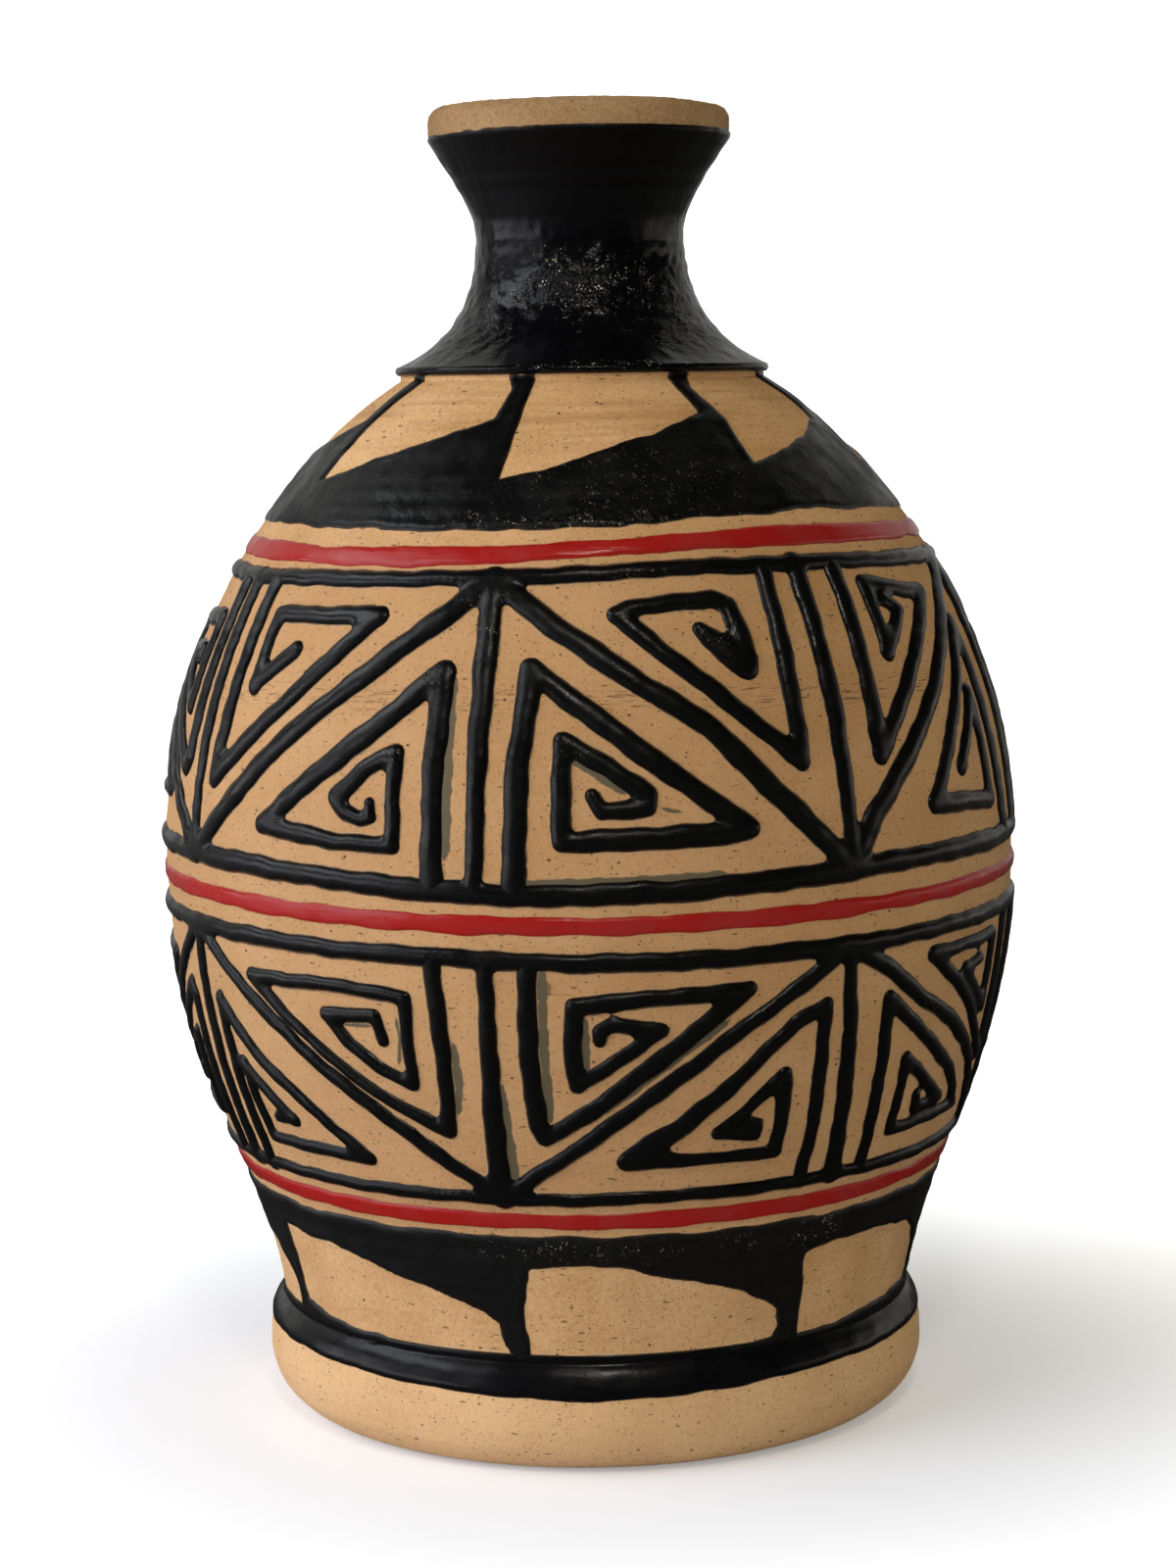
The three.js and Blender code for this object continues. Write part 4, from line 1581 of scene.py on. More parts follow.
@dataclass(frozen=True)
class ClayFinish:
    """Bare buff clay with dark grog, sandy to the touch.

    The heights say where a mark fades in or out, from the first to the second. The clay is painted
    paler towards the foot, which is painted light, and darker over the belly, which is painted
    shade.
    """

    name: str = "bare_clay"
    pale: tuple[float, ...] = srgb(211, 169, 120)
    deep: tuple[float, ...] = srgb(188, 143, 93)
    streak: tuple[float, ...] = srgb(150, 105, 62)
    painted_foot_light: tuple[float, ...] = srgb(236, 200, 152)
    painted_belly_shade: tuple[float, ...] = srgb(168, 124, 80)
    speck: tuple[float, ...] = srgb(66, 45, 29)
    sand: float = 0.04
    grains: float = 0.45
    specks: float = 1.0
    grog: tuple[Specks, ...] = (
        Specks(0.62, 0.5, 0.2, 0.5),
        Specks(1.2, 0.42, 0.26, 0.75),
        Specks(2.4, 0.24, 0.38, 0.9),
    )
    grog_form: tuple[float, float, float] = (1.0, 1.0, 1.45)
    slots: Specks = Specks(1.3, 0.2, 0.3, 0.7)
    slot_form: tuple[float, float, float] = (0.42, 0.42, 1.6)
    streaky: float = 1.0
    lined: float = 0.1
    rings: float = 0.05
    pits: float = 0.07
    roughness: float = 0.8
    reflect: float = 0.3
    # Painted light: the clay is painted paler towards the foot.
    painted_foot_light_heights: tuple[float, float] = (26.0, 12.0)
    painted_foot_light_share: float = 0.32
    # Painted shade: the clay is painted darker over the belly.
    painted_belly_shade_bottom: tuple[float, float] = (38.0, 52.0)
    painted_belly_shade_top: tuple[float, float] = (180.0, 162.0)
    painted_belly_shade_share: float = 0.5
    collar_heights: tuple[float, float] = (178.0, 196.0)
    collar_streaks: float = 0.45
    body_streaks: float = 0.07
    scratch_height: float = 143.0
    scratch_reach: tuple[float, float] = (3.0, 0.8)
    scratch_share: float = 0.8

    def material(self) -> bpy.types.Material:
        """Builds the material."""
        w, shader, place = new_material(self.name)
        height = w.node("ShaderNodeSeparateXYZ", {0: place}).outputs[2]
        streaks = w.group(streak_group(), {"Place": place}).outputs
        marks = self._marks(w, place, height, streaks["Dashes"])
        colour = w.mix(marks, self._body_colour(w, place, height, streaks), self.speck)
        grit = w.times(w.noise(place, 3.4, detail=3.0, roughness=0.65), self.sand)
        rings = w.times(streaks["Fine"], self.rings * self.streaky)
        relief = w.plus(w.plus(grit, rings), w.times(marks, -self.pits))
        w.surface(shader, colour, self.roughness, self.reflect, relief)
        return bpy.data.materials[self.name]

    def _body_colour(
        self,
        w: Wiring,
        place: Feed,
        height: Feed,
        streaks: bpy.types.NodeOutputs,
    ) -> bpy.types.NodeSocket:
        """The clay's colour before the specks.

        Args:
            w: The material's wiring.
            place: The position in millimetres.
            height: The height in millimetres.
            streaks: What the streak group gives.

        Returns:
            The colour.
        """
        cloud = w.noise(place, 0.06, detail=3.0)
        sand = w.noise(place, 1.1, detail=3.0, roughness=0.7)
        blend = w.plus(w.times(cloud, 0.6), w.times(sand, 0.5))
        colour = w.mix(w.smooth(blend, 0.35, 0.75), self.pale, self.deep)
        grain = w.noise(place, 1.9, detail=3.0, roughness=0.75)
        colour = w.mix(w.smooth(grain, 0.5, 0.72, 0.0, self.grains), colour, self.streak)
        # Painted light: paler towards the foot.
        painted_foot_light = w.smooth(height, *self.painted_foot_light_heights, 0.0, self.painted_foot_light_share)
        colour = w.mix(painted_foot_light, colour, self.painted_foot_light)
        # Painted shade: darker over the belly.
        painted_belly_shade = w.smooth(height, *self.painted_belly_shade_bottom, 0.0, self.painted_belly_shade_share)
        painted_belly_shade = w.times(painted_belly_shade, w.smooth(height, *self.painted_belly_shade_top))
        colour = w.mix(painted_belly_shade, colour, self.painted_belly_shade)
        most, least = self.collar_streaks * self.streaky, self.body_streaks * self.streaky
        broad = w.math("MULTIPLY_ADD", w.smooth(height, *self.collar_heights), most, least)
        colour = w.mix(w.times(streaks["Broad"], broad), colour, self.streak)
        lined = w.times(w.smooth(streaks["Fine"], 0.55, 0.75), self.lined * self.streaky)
        return w.mix(lined, colour, self.streak)

    def _marks(self, w: Wiring, place: Feed, height: Feed, dashes: Feed) -> Feed:
        """The dark specks, the drawn-out slots and the band of scratches.

        Args:
            w: The material's wiring.
            place: The position in millimetres.
            height: The height in millimetres.
            dashes: Short level streaks.

        Returns:
            The mask of all of them.
        """
        grog_place = w.stretched(place, self.grog_form)
        slot_place = w.stretched(place, self.slot_form)
        marks: Feed = 0.0
        for layer in self.grog:
            marks = w.most(marks, layer.mask(w, grog_place, self.specks))
        marks = w.most(marks, self.slots.mask(w, slot_place, self.specks))
        off = w.math("ABSOLUTE", w.math("SUBTRACT", height, self.scratch_height))
        scratches = w.times(dashes, w.smooth(off, *self.scratch_reach))
        return w.most(marks, w.times(scratches, self.scratch_share))


@dataclass(frozen=True)
class Zone:
    """A zone of a glaze that came out crumpled or dull round a point on the pot, where pale specks
    may also be painted on as glints of light.
    """

    centre: tuple[float, float, float]
    reach: tuple[float, float, float]
    crumple: float
    dull: float
    # How much of the zone holds pale specks painted as glints of light.
    painted_glints: float = 0.0


@dataclass(frozen=True)
class GlazeFinish:
    """A fired glaze, dark where it is thick and stained by the clay where it is thin, with pale
    specks painted as glints of light in some zones.
    """

    name: str
    thick: tuple[float, ...]
    thin: tuple[float, ...]
    smooth: float
    dull: float
    thin_below: float = 0.3
    waves: float = 0.1
    grain: float = 0.012
    streaks: float = 0.0
    reflect: float = 0.45
    # The colour and the specks of the painted glints of light.
    glint_colour: tuple[float, ...] = srgb(176, 166, 142)
    glint_specks: Specks = Specks(0.42, 0.6, 0.17)
    zones: tuple[Zone, ...] = ()

    def material(self) -> bpy.types.Material:
        """Builds the material."""
        w, shader, place = new_material(self.name)
        depth = w.node("ShaderNodeAttribute", attribute_name="glaze_depth").outputs["Fac"]
        cloud = w.noise(place, 0.5, detail=3.0)
        ragged = w.math("MULTIPLY_ADD", cloud, self.thin_below, -self.thin_below / 2)
        cover = w.smooth(w.plus(depth, ragged), 0.0, self.thin_below)
        colour = w.mix(cover, self.thin, self.thick)
        found: dict[str, Feed] = {"crumple": 0.0, "dull": 0.0, "painted_glints": 0.0}
        for zone in self.zones:
            feeds = {"Place": place, "Centre": zone.centre, "Reach": zone.reach}
            mask = w.group(zone_group(), feeds).outputs[0]
            for key, value in found.items():
                found[key] = w.most(value, w.times(mask, getattr(zone, key)))
        # Pale specks painted as glints of light where a zone asks for them.
        if any(zone.painted_glints for zone in self.zones):
            glint_clumps = w.times(found["painted_glints"], w.smooth(cloud, 0.46, 0.64))
            painted_glints = w.times(glint_clumps, self.glint_specks.mask(w, place))
            colour = w.mix(painted_glints, colour, self.glint_colour)
        feeds = {"Place": place, "Waves": self.waves, "Grain": self.grain}
        skin = w.group(skin_group(), {**feeds, "Crumple": found["crumple"]}).outputs
        lines = w.group(streak_group(), {"Place": place}).outputs
        relief = w.plus(skin["Height"], w.times(lines["Fine"], self.streaks))
        gloss = w.smooth(skin["Dull"], 0.38, 0.66, self.smooth, self.dull)
        w.surface(shader, colour, w.plus(gloss, found["dull"]), self.reflect, relief)
        return bpy.data.materials[self.name]


# ---------------------------------------------------------------- studio


@dataclass(frozen=True)
class Lamp:
    """A panel lamp aimed at the middle of the vase.

    The turn is in degrees round the vase as a place's angle is, and the climb in degrees over it.
    """

    name: str
    turn: float
    climb: float
    distance: float
    size: tuple[float, float]
    watts: float
    colour: tuple[float, float, float]
    mirrored: bool = True
    lights_clay: bool = True
    middle: float = 0.13


@dataclass(frozen=True)
class Studio:
    """The floor, the backdrop, the lamps and the camera.

    A gloss is how bright a thing is in the glaze's mirror.
    """

    focal_pixels: float = 3392.0
    frame_height: float = 1600.0
    sensor: float = 36.0
    camera_at: tuple[float, float, float] = (0.0, -0.6463, 0.1983)
    pitch: float = math.radians(-6.945)
    roll: float = math.radians(-0.842)
    white: tuple[float, ...] = (1.0, 1.0, 1.0, 1.0)
    ambient: float = 0.44
    ambient_colour: tuple[float, ...] = (1.0, 0.95, 0.75, 1.0)
    ambient_gloss: float = 0.012
    gloss_colour: tuple[float, ...] = (1.0, 0.97, 0.93, 1.0)
    backdrop_colour: tuple[float, ...] = (0.5, 0.5, 0.5, 1.0)
    backdrop_gloss: float = 0.17
    backdrop_at: float = 1.7
    floor_colour: tuple[float, ...] = (0.83, 0.86, 0.93, 1.0)
    floor_mirrored: tuple[float, ...] = (0.05, 0.048, 0.045, 1.0)
    floor_gloss: tuple[float, float] = (0.12, 0.05)
    floor_gloss_from: tuple[float, float] = (120.0, 320.0)
    floor_glow: tuple[float, float] = (0.26, 1.0)
    floor_glow_from: tuple[float, float] = (66.0, 260.0)
    plane_size: float = 6.0
    lamps: tuple[Lamp, ...] = (
        Lamp("key", -62, 14, 1.5, (1.2, 1.0), 14.3, (0.955, 0.99, 1.2), mirrored=False),
        Lamp("sky", -80, 36, 1.5, (1.5, 0.5), 6.5, (0.93, 0.96, 1.0)),
        Lamp("window", -77, 4, 1.35, (1.6, 0.4), 4.3, (0.93, 0.93, 1.0), lights_clay=False),
        Lamp("bounce", 98, 3, 1.35, (1.4, 0.4), 1.2, (1.0, 0.94, 0.86), lights_clay=False),
        Lamp("ceiling", 3, 43, 1.35, (0.14, 0.12), 2.2, (1.0, 0.93, 0.82)),
    )

    def build(self) -> None:
        """Builds the whole studio."""
        self._world()
        self._floor()
        self._backdrop()
        for lamp in self.lamps:
            self._lamp(lamp)
        self._camera()

    def _world(self) -> None:
        """A white room for the camera, and a low even light for everything else."""
        world = bpy.data.worlds.new("room")
        bpy.context.scene.world = world
        world.use_nodes = True
        world.node_tree.nodes.clear()
        w = Wiring(world.node_tree)
        path = w.node("ShaderNodeLightPath").outputs
        even, dim, white = (
            w.node("ShaderNodeBackground", {0: colour, 1: strength}).outputs[0]
            for colour, strength in (
                (self.ambient_colour, self.ambient),
                (self.gloss_colour, self.ambient_gloss),
                (self.white, 1.0),
            )
        )
        unseen = w.node("ShaderNodeMixShader", {0: path["Is Glossy Ray"], 1: even, 2: dim})
        feeds = {0: path["Is Camera Ray"], 1: unseen.outputs[0], 2: white}
        both = w.node("ShaderNodeMixShader", feeds)
        w.node("ShaderNodeOutputWorld", {0: both.outputs[0]})

    def _stage_plane(self, name: str, matrix: Matrix) -> None:
        """Adds a flat stage piece with the material of its name.

        Args:
            name: The piece's name.
            matrix: Its place and turn.
        """
        bm = bmesh.new()
        size = self.plane_size / 2
        bmesh.ops.create_grid(bm, x_segments=1, y_segments=1, size=size, matrix=matrix)
        plane = bpy.data.objects.new(name, to_mesh(bm, name))
        bpy.context.scene.collection.objects.link(plane)
        plane.data.materials.append(bpy.data.materials[name])

    def _floor(self) -> None:
        """A pale floor that takes the shadow near the vase and is white further out."""
        w, shader, place = new_material("floor")
        path = w.node("ShaderNodeLightPath").outputs
        mirrored = path["Is Glossy Ray"]
        far = w.length(w.stretched(place, (1.0, 1.0, 0.0)))
        glow = w.smooth(far, *self.floor_glow_from, *self.floor_glow)
        seen = w.times(path["Is Camera Ray"], glow)
        across = w.node("ShaderNodeSeparateXYZ", {0: place}).outputs[0]
        near, off = self.floor_gloss_from
        left, right = self.floor_gloss
        sides = w.plus(
            w.smooth(across, -near, -off, 0.0, left), w.smooth(across, near, off, 0.0, right)
        )
        feeds = {
            "Base Color": w.mix(mirrored, self.floor_colour, self.floor_mirrored),
            "Roughness": 0.9,
            "Specular IOR Level": 0.1,
            "Emission Color": self.white,
            "Emission Strength": w.most(seen, w.times(mirrored, sides)),
        }
        w.feeds(shader, feeds)
        self._stage_plane("floor", Matrix.Identity(4))

    def _backdrop(self) -> None:
        """A white backdrop behind the vase, which its glaze mirrors at the sides."""
        w, shader, _ = new_material("backdrop")
        path = w.node("ShaderNodeLightPath").outputs
        seen = w.most(path["Is Camera Ray"], w.times(path["Is Glossy Ray"], self.backdrop_gloss))
        feeds = {
            "Base Color": self.backdrop_colour,
            "Roughness": 1.0,
            "Emission Color": self.white,
            "Emission Strength": w.most(seen, path["Is Transmission Ray"]),
        }
        w.feeds(shader, feeds)
        turned = Matrix.Rotation(math.radians(90), 4, "X")
        self._stage_plane("backdrop", Matrix.Translation((0, self.backdrop_at, 0)) @ turned)

    def _lamp(self, lamp: Lamp) -> None:
        """Adds one lamp.

        Args:
            lamp: The lamp.
        """
        light = bpy.data.lights.new(lamp.name, "AREA")
        light.shape = "RECTANGLE"
        light.size, light.size_y = lamp.size
        light.energy = lamp.watts
        light.color = lamp.colour
        holder = bpy.data.objects.new(lamp.name, light)
        turn, climb = math.radians(lamp.turn), math.radians(lamp.climb)
        level = math.cos(climb)
        away = Vector((math.sin(turn) * level, -math.cos(turn) * level, math.sin(climb)))
        holder.location = away * lamp.distance + Vector((0, 0, lamp.middle))
        holder.rotation_mode = "QUATERNION"
        holder.rotation_quaternion = (-away).to_track_quat("-Z", "Y")
        holder.visible_glossy = lamp.mirrored
        holder.visible_diffuse = lamp.lights_clay
        bpy.context.scene.collection.objects.link(holder)

    def _camera(self) -> None:
        """The camera at the photograph's place."""
        ahead = Vector((0.0, math.cos(self.pitch), math.sin(self.pitch)))
        right = Vector((1.0, 0.0, 0.0))
        up = right.cross(ahead)
        across = math.cos(self.roll) * right + math.sin(self.roll) * up
        upward = -math.sin(self.roll) * right + math.cos(self.roll) * up
        data = bpy.data.cameras.new("camera")
        data.sensor_width = self.sensor
        data.lens = self.focal_pixels / self.frame_height * self.sensor
        camera = bpy.data.objects.new("camera", data)
        matrix = Matrix((across, upward, -ahead)).transposed().to_4x4()
        matrix.translation = Vector(self.camera_at)
        camera.matrix_world = matrix
        bpy.context.scene.collection.objects.link(camera)
        bpy.context.scene.camera = camera


# ---------------------------------------------------------------- the vase


# The angle of each upright and of each arm: the first three as seen, the others evenly spaced.
ZIGZAG_ANGLES = (-62.0, -13.4, 34.4, 78.3, 122.2, 166.1, 210.1, 254.1)
SHOULDER_ANGLES = (-60.0, -18.0, 30.0, 75.0, 120.0, 165.0, 210.0, 255.0)


def window_row(
    angles: Sequence[float], seen: dict[int, tuple[Place, ...]], common: Sequence[Place]
) -> tuple[Window, ...]:
    """A row of windows round the pot.

    Args:
        angles: Where each window stands.
        seen: The corners of the windows that have their own, by number.
        common: The corners of all others, turned by the window's angle.

    Returns:
        The windows.
    """
    rows = (
        seen.get(i) or tuple((angle + aside, z) for aside, z in common)
        for i, angle in enumerate(angles)
    )
    return tuple(Window(row) for row in rows)


def shoulder_windows() -> tuple[Window, ...]:
    """The sawtooth windows under the ledge."""
    seen = {
        0: (
            (-56, 201), (-57.5, 198.5), (-61, 180.3), (-21, 191.3), (-20.3, 196.5), (-22.5, 198.6),
            (-22.5, 201),
        ),
        1: (
            (-14.1, 201), (-14.5, 189.7), (-15.9, 180.8), (-4.8, 183.3), (8.8, 187), (24.5, 190.8),
            (28.7, 192), (26.2, 199), (26, 201),
        ),
        2: (
            (34.3, 201), (34, 199), (31.7, 196.5), (35.3, 190.5), (35.4, 182.8), (51, 186.3),
            (69, 190.3), (71.5, 192), (69.5, 201),
        ),
    }
    common = ((4, 201), (3.6, 190), (2, 181), (17, 184.6), (31, 188), (41, 191), (40.5, 201))
    return window_row(SHOULDER_ANGLES, seen, common)


def skirt_windows() -> tuple[Window, ...]:
    """The swept windows above the foot."""
    seen = {
        0: (
            (-61.5, 25.2), (-61.5, 40.5), (-47, 39.8), (-41, 38.2), (-34, 36.3), (-27.3, 34.2),
            (-23, 32.7), (-19, 31), (-16.2, 28.8), (-15.9, 25), (-14.2, 21.9), (-30, 22.5),
            (-45, 23.2),
        ),
        1: (
            (-10.8, 21.6), (-11.7, 28.5), (-11.1, 35), (-10.6, 40.2), (0, 40.6), (4.3, 39.9),
            (12.2, 37.5), (21, 34.9), (25.5, 33), (29.3, 30.6), (31.8, 28.3), (32.6, 25),
            (31.4, 23.2), (22, 22.7), (12.8, 21.9), (4.2, 21.5),
        ),
        2: (
            (37.4, 22.9), (37.4, 25.3), (36.7, 32.6), (35.9, 39.4), (45, 40.3), (52, 40.2),
            (65, 38.4), (71, 34.8), (75, 31), (76, 27), (75, 24.6), (60, 24.2), (48, 23.2),
        ),
    }
    common = (
        (2.3, 23.2), (2.3, 40.2), (14, 40.3), (24, 38), (33, 34.6), (38.5, 31), (41, 27.5),
        (40.5, 23.6), (30, 23), (16, 22.6),
    )
    return window_row(ZIGZAG_ANGLES, seen, common)


def red_line(name: str, seed: int, knots: Sequence[tuple[float, float, float]]) -> Coat:
    """A red line.

    Args:
        name: Which of the lines it is.
        seed: Start of its random numbers.
        knots: Its places, as (angle, height, half of its width).

    Returns:
        The line.
    """
    soft_edge = 0.22
    return Coat(
        f"red_{name}",
        f"red_line_{name}",
        "red",
        slot=Slot.RED,
        low=tuple((angle, z - half - soft_edge) for angle, z, half in knots),
        high=tuple((angle, z + half + soft_edge) for angle, z, half in knots),
        thickness=0.5,
        bead=0.0,
        edge_wobble=0.16,
        surface_wobble=0.03,
        sides=600,
        row=0.36,
        seed=seed,
    )


# Name, seed, and places as (angle, height, half of the width).
RED_LINES = (
    (
        "upper",
        81,
        (
            (-180, 168.6, 1.4), (-60, 167.8, 1.5), (-45, 167.4, 1.35), (-30, 167.5, 1.7),
            (-15, 167.9, 1.3), (5, 169, 1.2), (20, 169.8, 1.4), (40, 170.2, 1.6), (70, 169.6, 1.3),
            (120, 168.8, 1.4),
        ),
    ),
    (
        "middle",
        91,
        (
            (-180, 105.3, 1.4), (-60, 106, 1.4), (-30, 105.3, 1.5), (0, 104.8, 1.45),
            (30, 105.2, 1.4), (60, 105.8, 1.3), (120, 105.4, 1.5),
        ),
    ),
    (
        "lower",
        97,
        (
            (-180, 49.8, 1.4), (-60, 49.9, 1.4), (-30, 49.7, 1.45), (0, 49.55, 1.35),
            (30, 49.9, 1.5), (60, 50.2, 1.3), (120, 49.9, 1.5),
        ),
    ),
)


def coats() -> tuple[Coat, ...]:
    """The coats and the red lines."""
    return (
        Coat(
            "neck_coat",
            "neck_glaze",
            "neck",
            low=((0, 199.5),),
            low_wobble=0.3,
            high=((0, 244.7), (60, 244.9), (-60, 244.4), (180, 244.8)),
            sides=320,
            row=0.5,
            edge_wobble=0.05,
            surface_wobble=0.03,
            bead=0.0,
            crumple=0.06,
            crumple_low=201,
            crumple_high=225,
            seed=41,
            margin=0.6,
        ),
        Coat(
            "shoulder_coat",
            "shoulder_glaze",
            "shoulder",
            low=(
                (-180, 172.6), (-60, 172.4), (-30, 171.9), (0, 172.2), (25, 173.8), (45, 174.4),
                (90, 173),
            ),
            high=((0, 199.3),),
            windows=shoulder_windows(),
            sides=520,
            seed=51,
            bead=0.1,
        ),
        Coat(
            "skirt_coat",
            "skirt_glaze",
            "skirt",
            low=((0, 21.2),),
            low_wobble=0.0,
            high=((0, 46.6), (60, 46.9), (-60, 46.8), (180, 46.5)),
            windows=skirt_windows(),
            sides=540,
            seed=61,
        ),
        Coat(
            "foot_coat",
            "foot_glaze",
            "foot",
            low=(
                (0, 14.9), (15, 15.3), (30, 16.1), (45, 16.5), (90, 16), (180, 15.6), (-90, 16.2),
                (-60, 16.5), (-30, 15.8),
            ),
            high=((0, 22.9),),
            high_wobble=0.0,
            edge_wobble=0.12,
            sides=540,
            row=0.45,
            seed=71,
        ),
        *(red_line(*line) for line in RED_LINES),
    )


def friezes() -> tuple[Frieze, ...]:
    """The upper and the lower frieze, with the coils that the photograph shows."""
    upper = Frieze(
        name="upper",
        top=(
            (-180, 164.4), (-60, 163.2), (-20, 163.9), (0, 164.6), (18, 165.4), (45, 165.3),
            (75, 164.4),
        ),
        bottom=(
            (-180, 111.8), (-60, 112.8), (-45, 112.6), (-10, 110.2), (10, 110.6), (45, 112.7),
            (75, 112.4),
        ),
        turns=(
            (-62.3, -61.8), (-13.6, -14.1), (34.1, 34.3), (77.6, 78.3),
            *((a, a) for a in ZIGZAG_ANGLES[4:]),
        ),
        first_turn_low=True,
        slants={
            0: ((-41, 138),),
            1: ((-5.2, 156.5), (5.1, 147.7), (15.2, 139)),
            2: ((38.5, 121.5), (48.7, 134), (60, 147.5), (70, 158)),
        },
        coils={
            "1a": ((-56, 163), (-57.5, 127), (-31, 157.3), (-51.3, 157), (-52, 144.3), (-45, 151)),
            "1b": (
                (-19.5, 111.5, 4.1), (-19.6, 129, 4.0), (-19.3, 148.2, 4.3), (-38, 128.3, 4.0),
                (-45.6, 120.2, 3.7), (-33, 118.6, 3.0), (-24.7, 118.2, 3.1), (-24.9, 127, 2.9),
                (-24.9, 134.3, 3.0), (-29.4, 131.1, 3.2), (-33, 126.2, 4.1), (-31.8, 123.7, 3.2),
                (-29.3, 122.6, 2.4), (-27.8, 122.9, 2.2), (-28, 125.5, 1.8),
            ),
            "2a": (
                (-9.2, 111, 4.3), (-8.8, 131, 4.0), (-7.4, 148.8, 4.1), (6.5, 134.8, 3.9),
                (20.1, 120.8, 3.7), (17, 120.1, 3.9), (9.8, 119.8, 3.9), (-3.2, 119.5, 3.8),
                (-3.4, 129.5, 3.4), (-3.1, 136.6, 3.3), (2.4, 132.2, 3.2), (7.2, 127.2, 3.6),
                (7.2, 125.2, 3.3), (1.6, 124.4, 3.0), (0.5, 127.4, 2.4),
            ),
            "2b": (
                (28.1, 164.5, 3.7), (27.9, 144, 3.5), (28, 131.5, 3.5), (16, 145.5, 3.3),
                (4.3, 157.6, 3.4), (6.2, 158.6, 3.3), (12.7, 159.4, 3.3), (18.6, 159.8, 3.4),
                (20.9, 158.6, 3.6), (21.8, 153.4, 4.3), (22.2, 149.4, 5.0), (22, 147.9, 4.4),
                (19.2, 151.4, 5.0), (16.1, 154.9, 2.5),
            ),
            "3a": (
                (41.5, 164.5), (40.8, 131.5), (51, 146), (62, 158.5), (47, 161), (46.7, 149),
                (53, 156), (50, 158),
            ),
            "3b": (
                (71.5, 112.5), (69, 152.5), (59, 137), (50, 121.5), (66, 119.8), (65.4, 139.5),
                (58, 127),
            ),
        },
        seed=200,
    )
    lower = Frieze(
        name="lower",
        top=((-180, 98.7), (-60, 99.8), (-15, 99), (0, 98.3), (15, 98.4), (34, 98.6), (60, 99)),
        bottom=((-180, 54.2), (-60, 54.4), (-15, 54.0), (0, 54.0), (34, 54.6), (60, 54.8)),
        top_width=3.3,
        bottom_width=2.7,
        upright_width=2.8,
        upright_growth=1.45,
        slant_width=3.1,
        coil_width=3.1,
        turns=(
            (-62, -62), (-12.9, -13.2), (34.0, 37.0), (78.3, 78.3),
            *((a, a) for a in ZIGZAG_ANGLES[4:]),
        ),
        first_turn_low=False,
        slants={
            1: ((-5.9, 60.5), (2.1, 68), (9.9, 75.9), (18.5, 84.6), (26, 91.5)),
            2: ((42.1, 92.1), (48.6, 86), (56.5, 80.5), (67.5, 70.5)),
        },
        coils={
            "1a": (
                (-57, 54), (-57.9, 86.2), (-51, 76.7), (-45, 71.6), (-33.3, 59.8), (-53, 60.3),
                (-55, 74.4), (-46.4, 65), (-49.9, 65.1),
            ),
            "1b": (
                (-19.8, 98.5, 3.2), (-19, 80.6, 3.0), (-19.6, 66.8, 3.0), (-29.8, 73.4, 2.4),
                (-40, 83.1, 2.4), (-49, 92.3, 2.9), (-36.3, 92.6, 2.6), (-28.9, 92.3, 2.6),
                (-23.7, 91.4, 2.5), (-23.7, 82.3, 2.4), (-23.8, 75.4, 2.5), (-28.3, 78.2, 2.5),
                (-32.5, 82.4, 2.7), (-35.8, 87.2, 2.7), (-28.2, 87.7, 2.5), (-27.2, 83.3, 2.3),
            ),
            "2a": (
                (-7.8, 98, 3.4), (-7.9, 81.2, 3.3), (-7.2, 68.2, 3.4), (-6.4, 66, 3.4),
                (1.6, 72.9, 3.3), (9, 80.8, 3.3), (15.3, 87.9, 3.4), (19.8, 92.6, 3.0),
                (11, 92, 3.0), (0.8, 91.2, 3.0), (-2.2, 90.8, 3.1), (-2.3, 81, 3.2),
                (-1.9, 76, 2.9), (3, 80.4, 2.7), (8.7, 86, 2.7), (2.5, 87.2, 2.6), (1, 86.2, 2.4),
                (1.1, 84.3, 2.2),
            ),
            "2b": (
                (31.2, 54.5, 3.0), (31.4, 66, 2.9), (31, 75.7, 2.8), (31, 88.3, 2.8),
                (26.6, 85.6, 3.0), (18, 74.5, 3.2), (12, 68, 3.7), (8, 64.3, 4.8),
                (4.7, 61.4, 3.8), (8.8, 61.7, 4.0), (14, 61.1, 2.5), (20, 61.1, 2.3),
                (26, 61.3, 2.7), (26, 69.1, 3.0), (25.7, 76, 3.2), (21.4, 70.9, 2.4),
                (17, 66, 2.7), (22.4, 65.1, 2.0), (22.7, 67.3, 1.9), (21.2, 67.8, 1.7),
            ),
            "3a": (
                (42.6, 54.8), (42, 68.9), (41.4, 87.6), (50, 79), (60.6, 69.3), (66, 61.8),
                (51.7, 61.2), (47.2, 61.3), (46.8, 75), (58.5, 64.9), (51.8, 64.6), (51.5, 67),
            ),
            "3b": (
                (71.8, 98.5), (71.5, 70), (59, 85.3), (49.4, 94.2), (67, 94.4), (66.6, 80.5),
                (58.5, 89.5), (63, 90.5),
            ),
        },
        seed=300,
    )
    return upper, lower


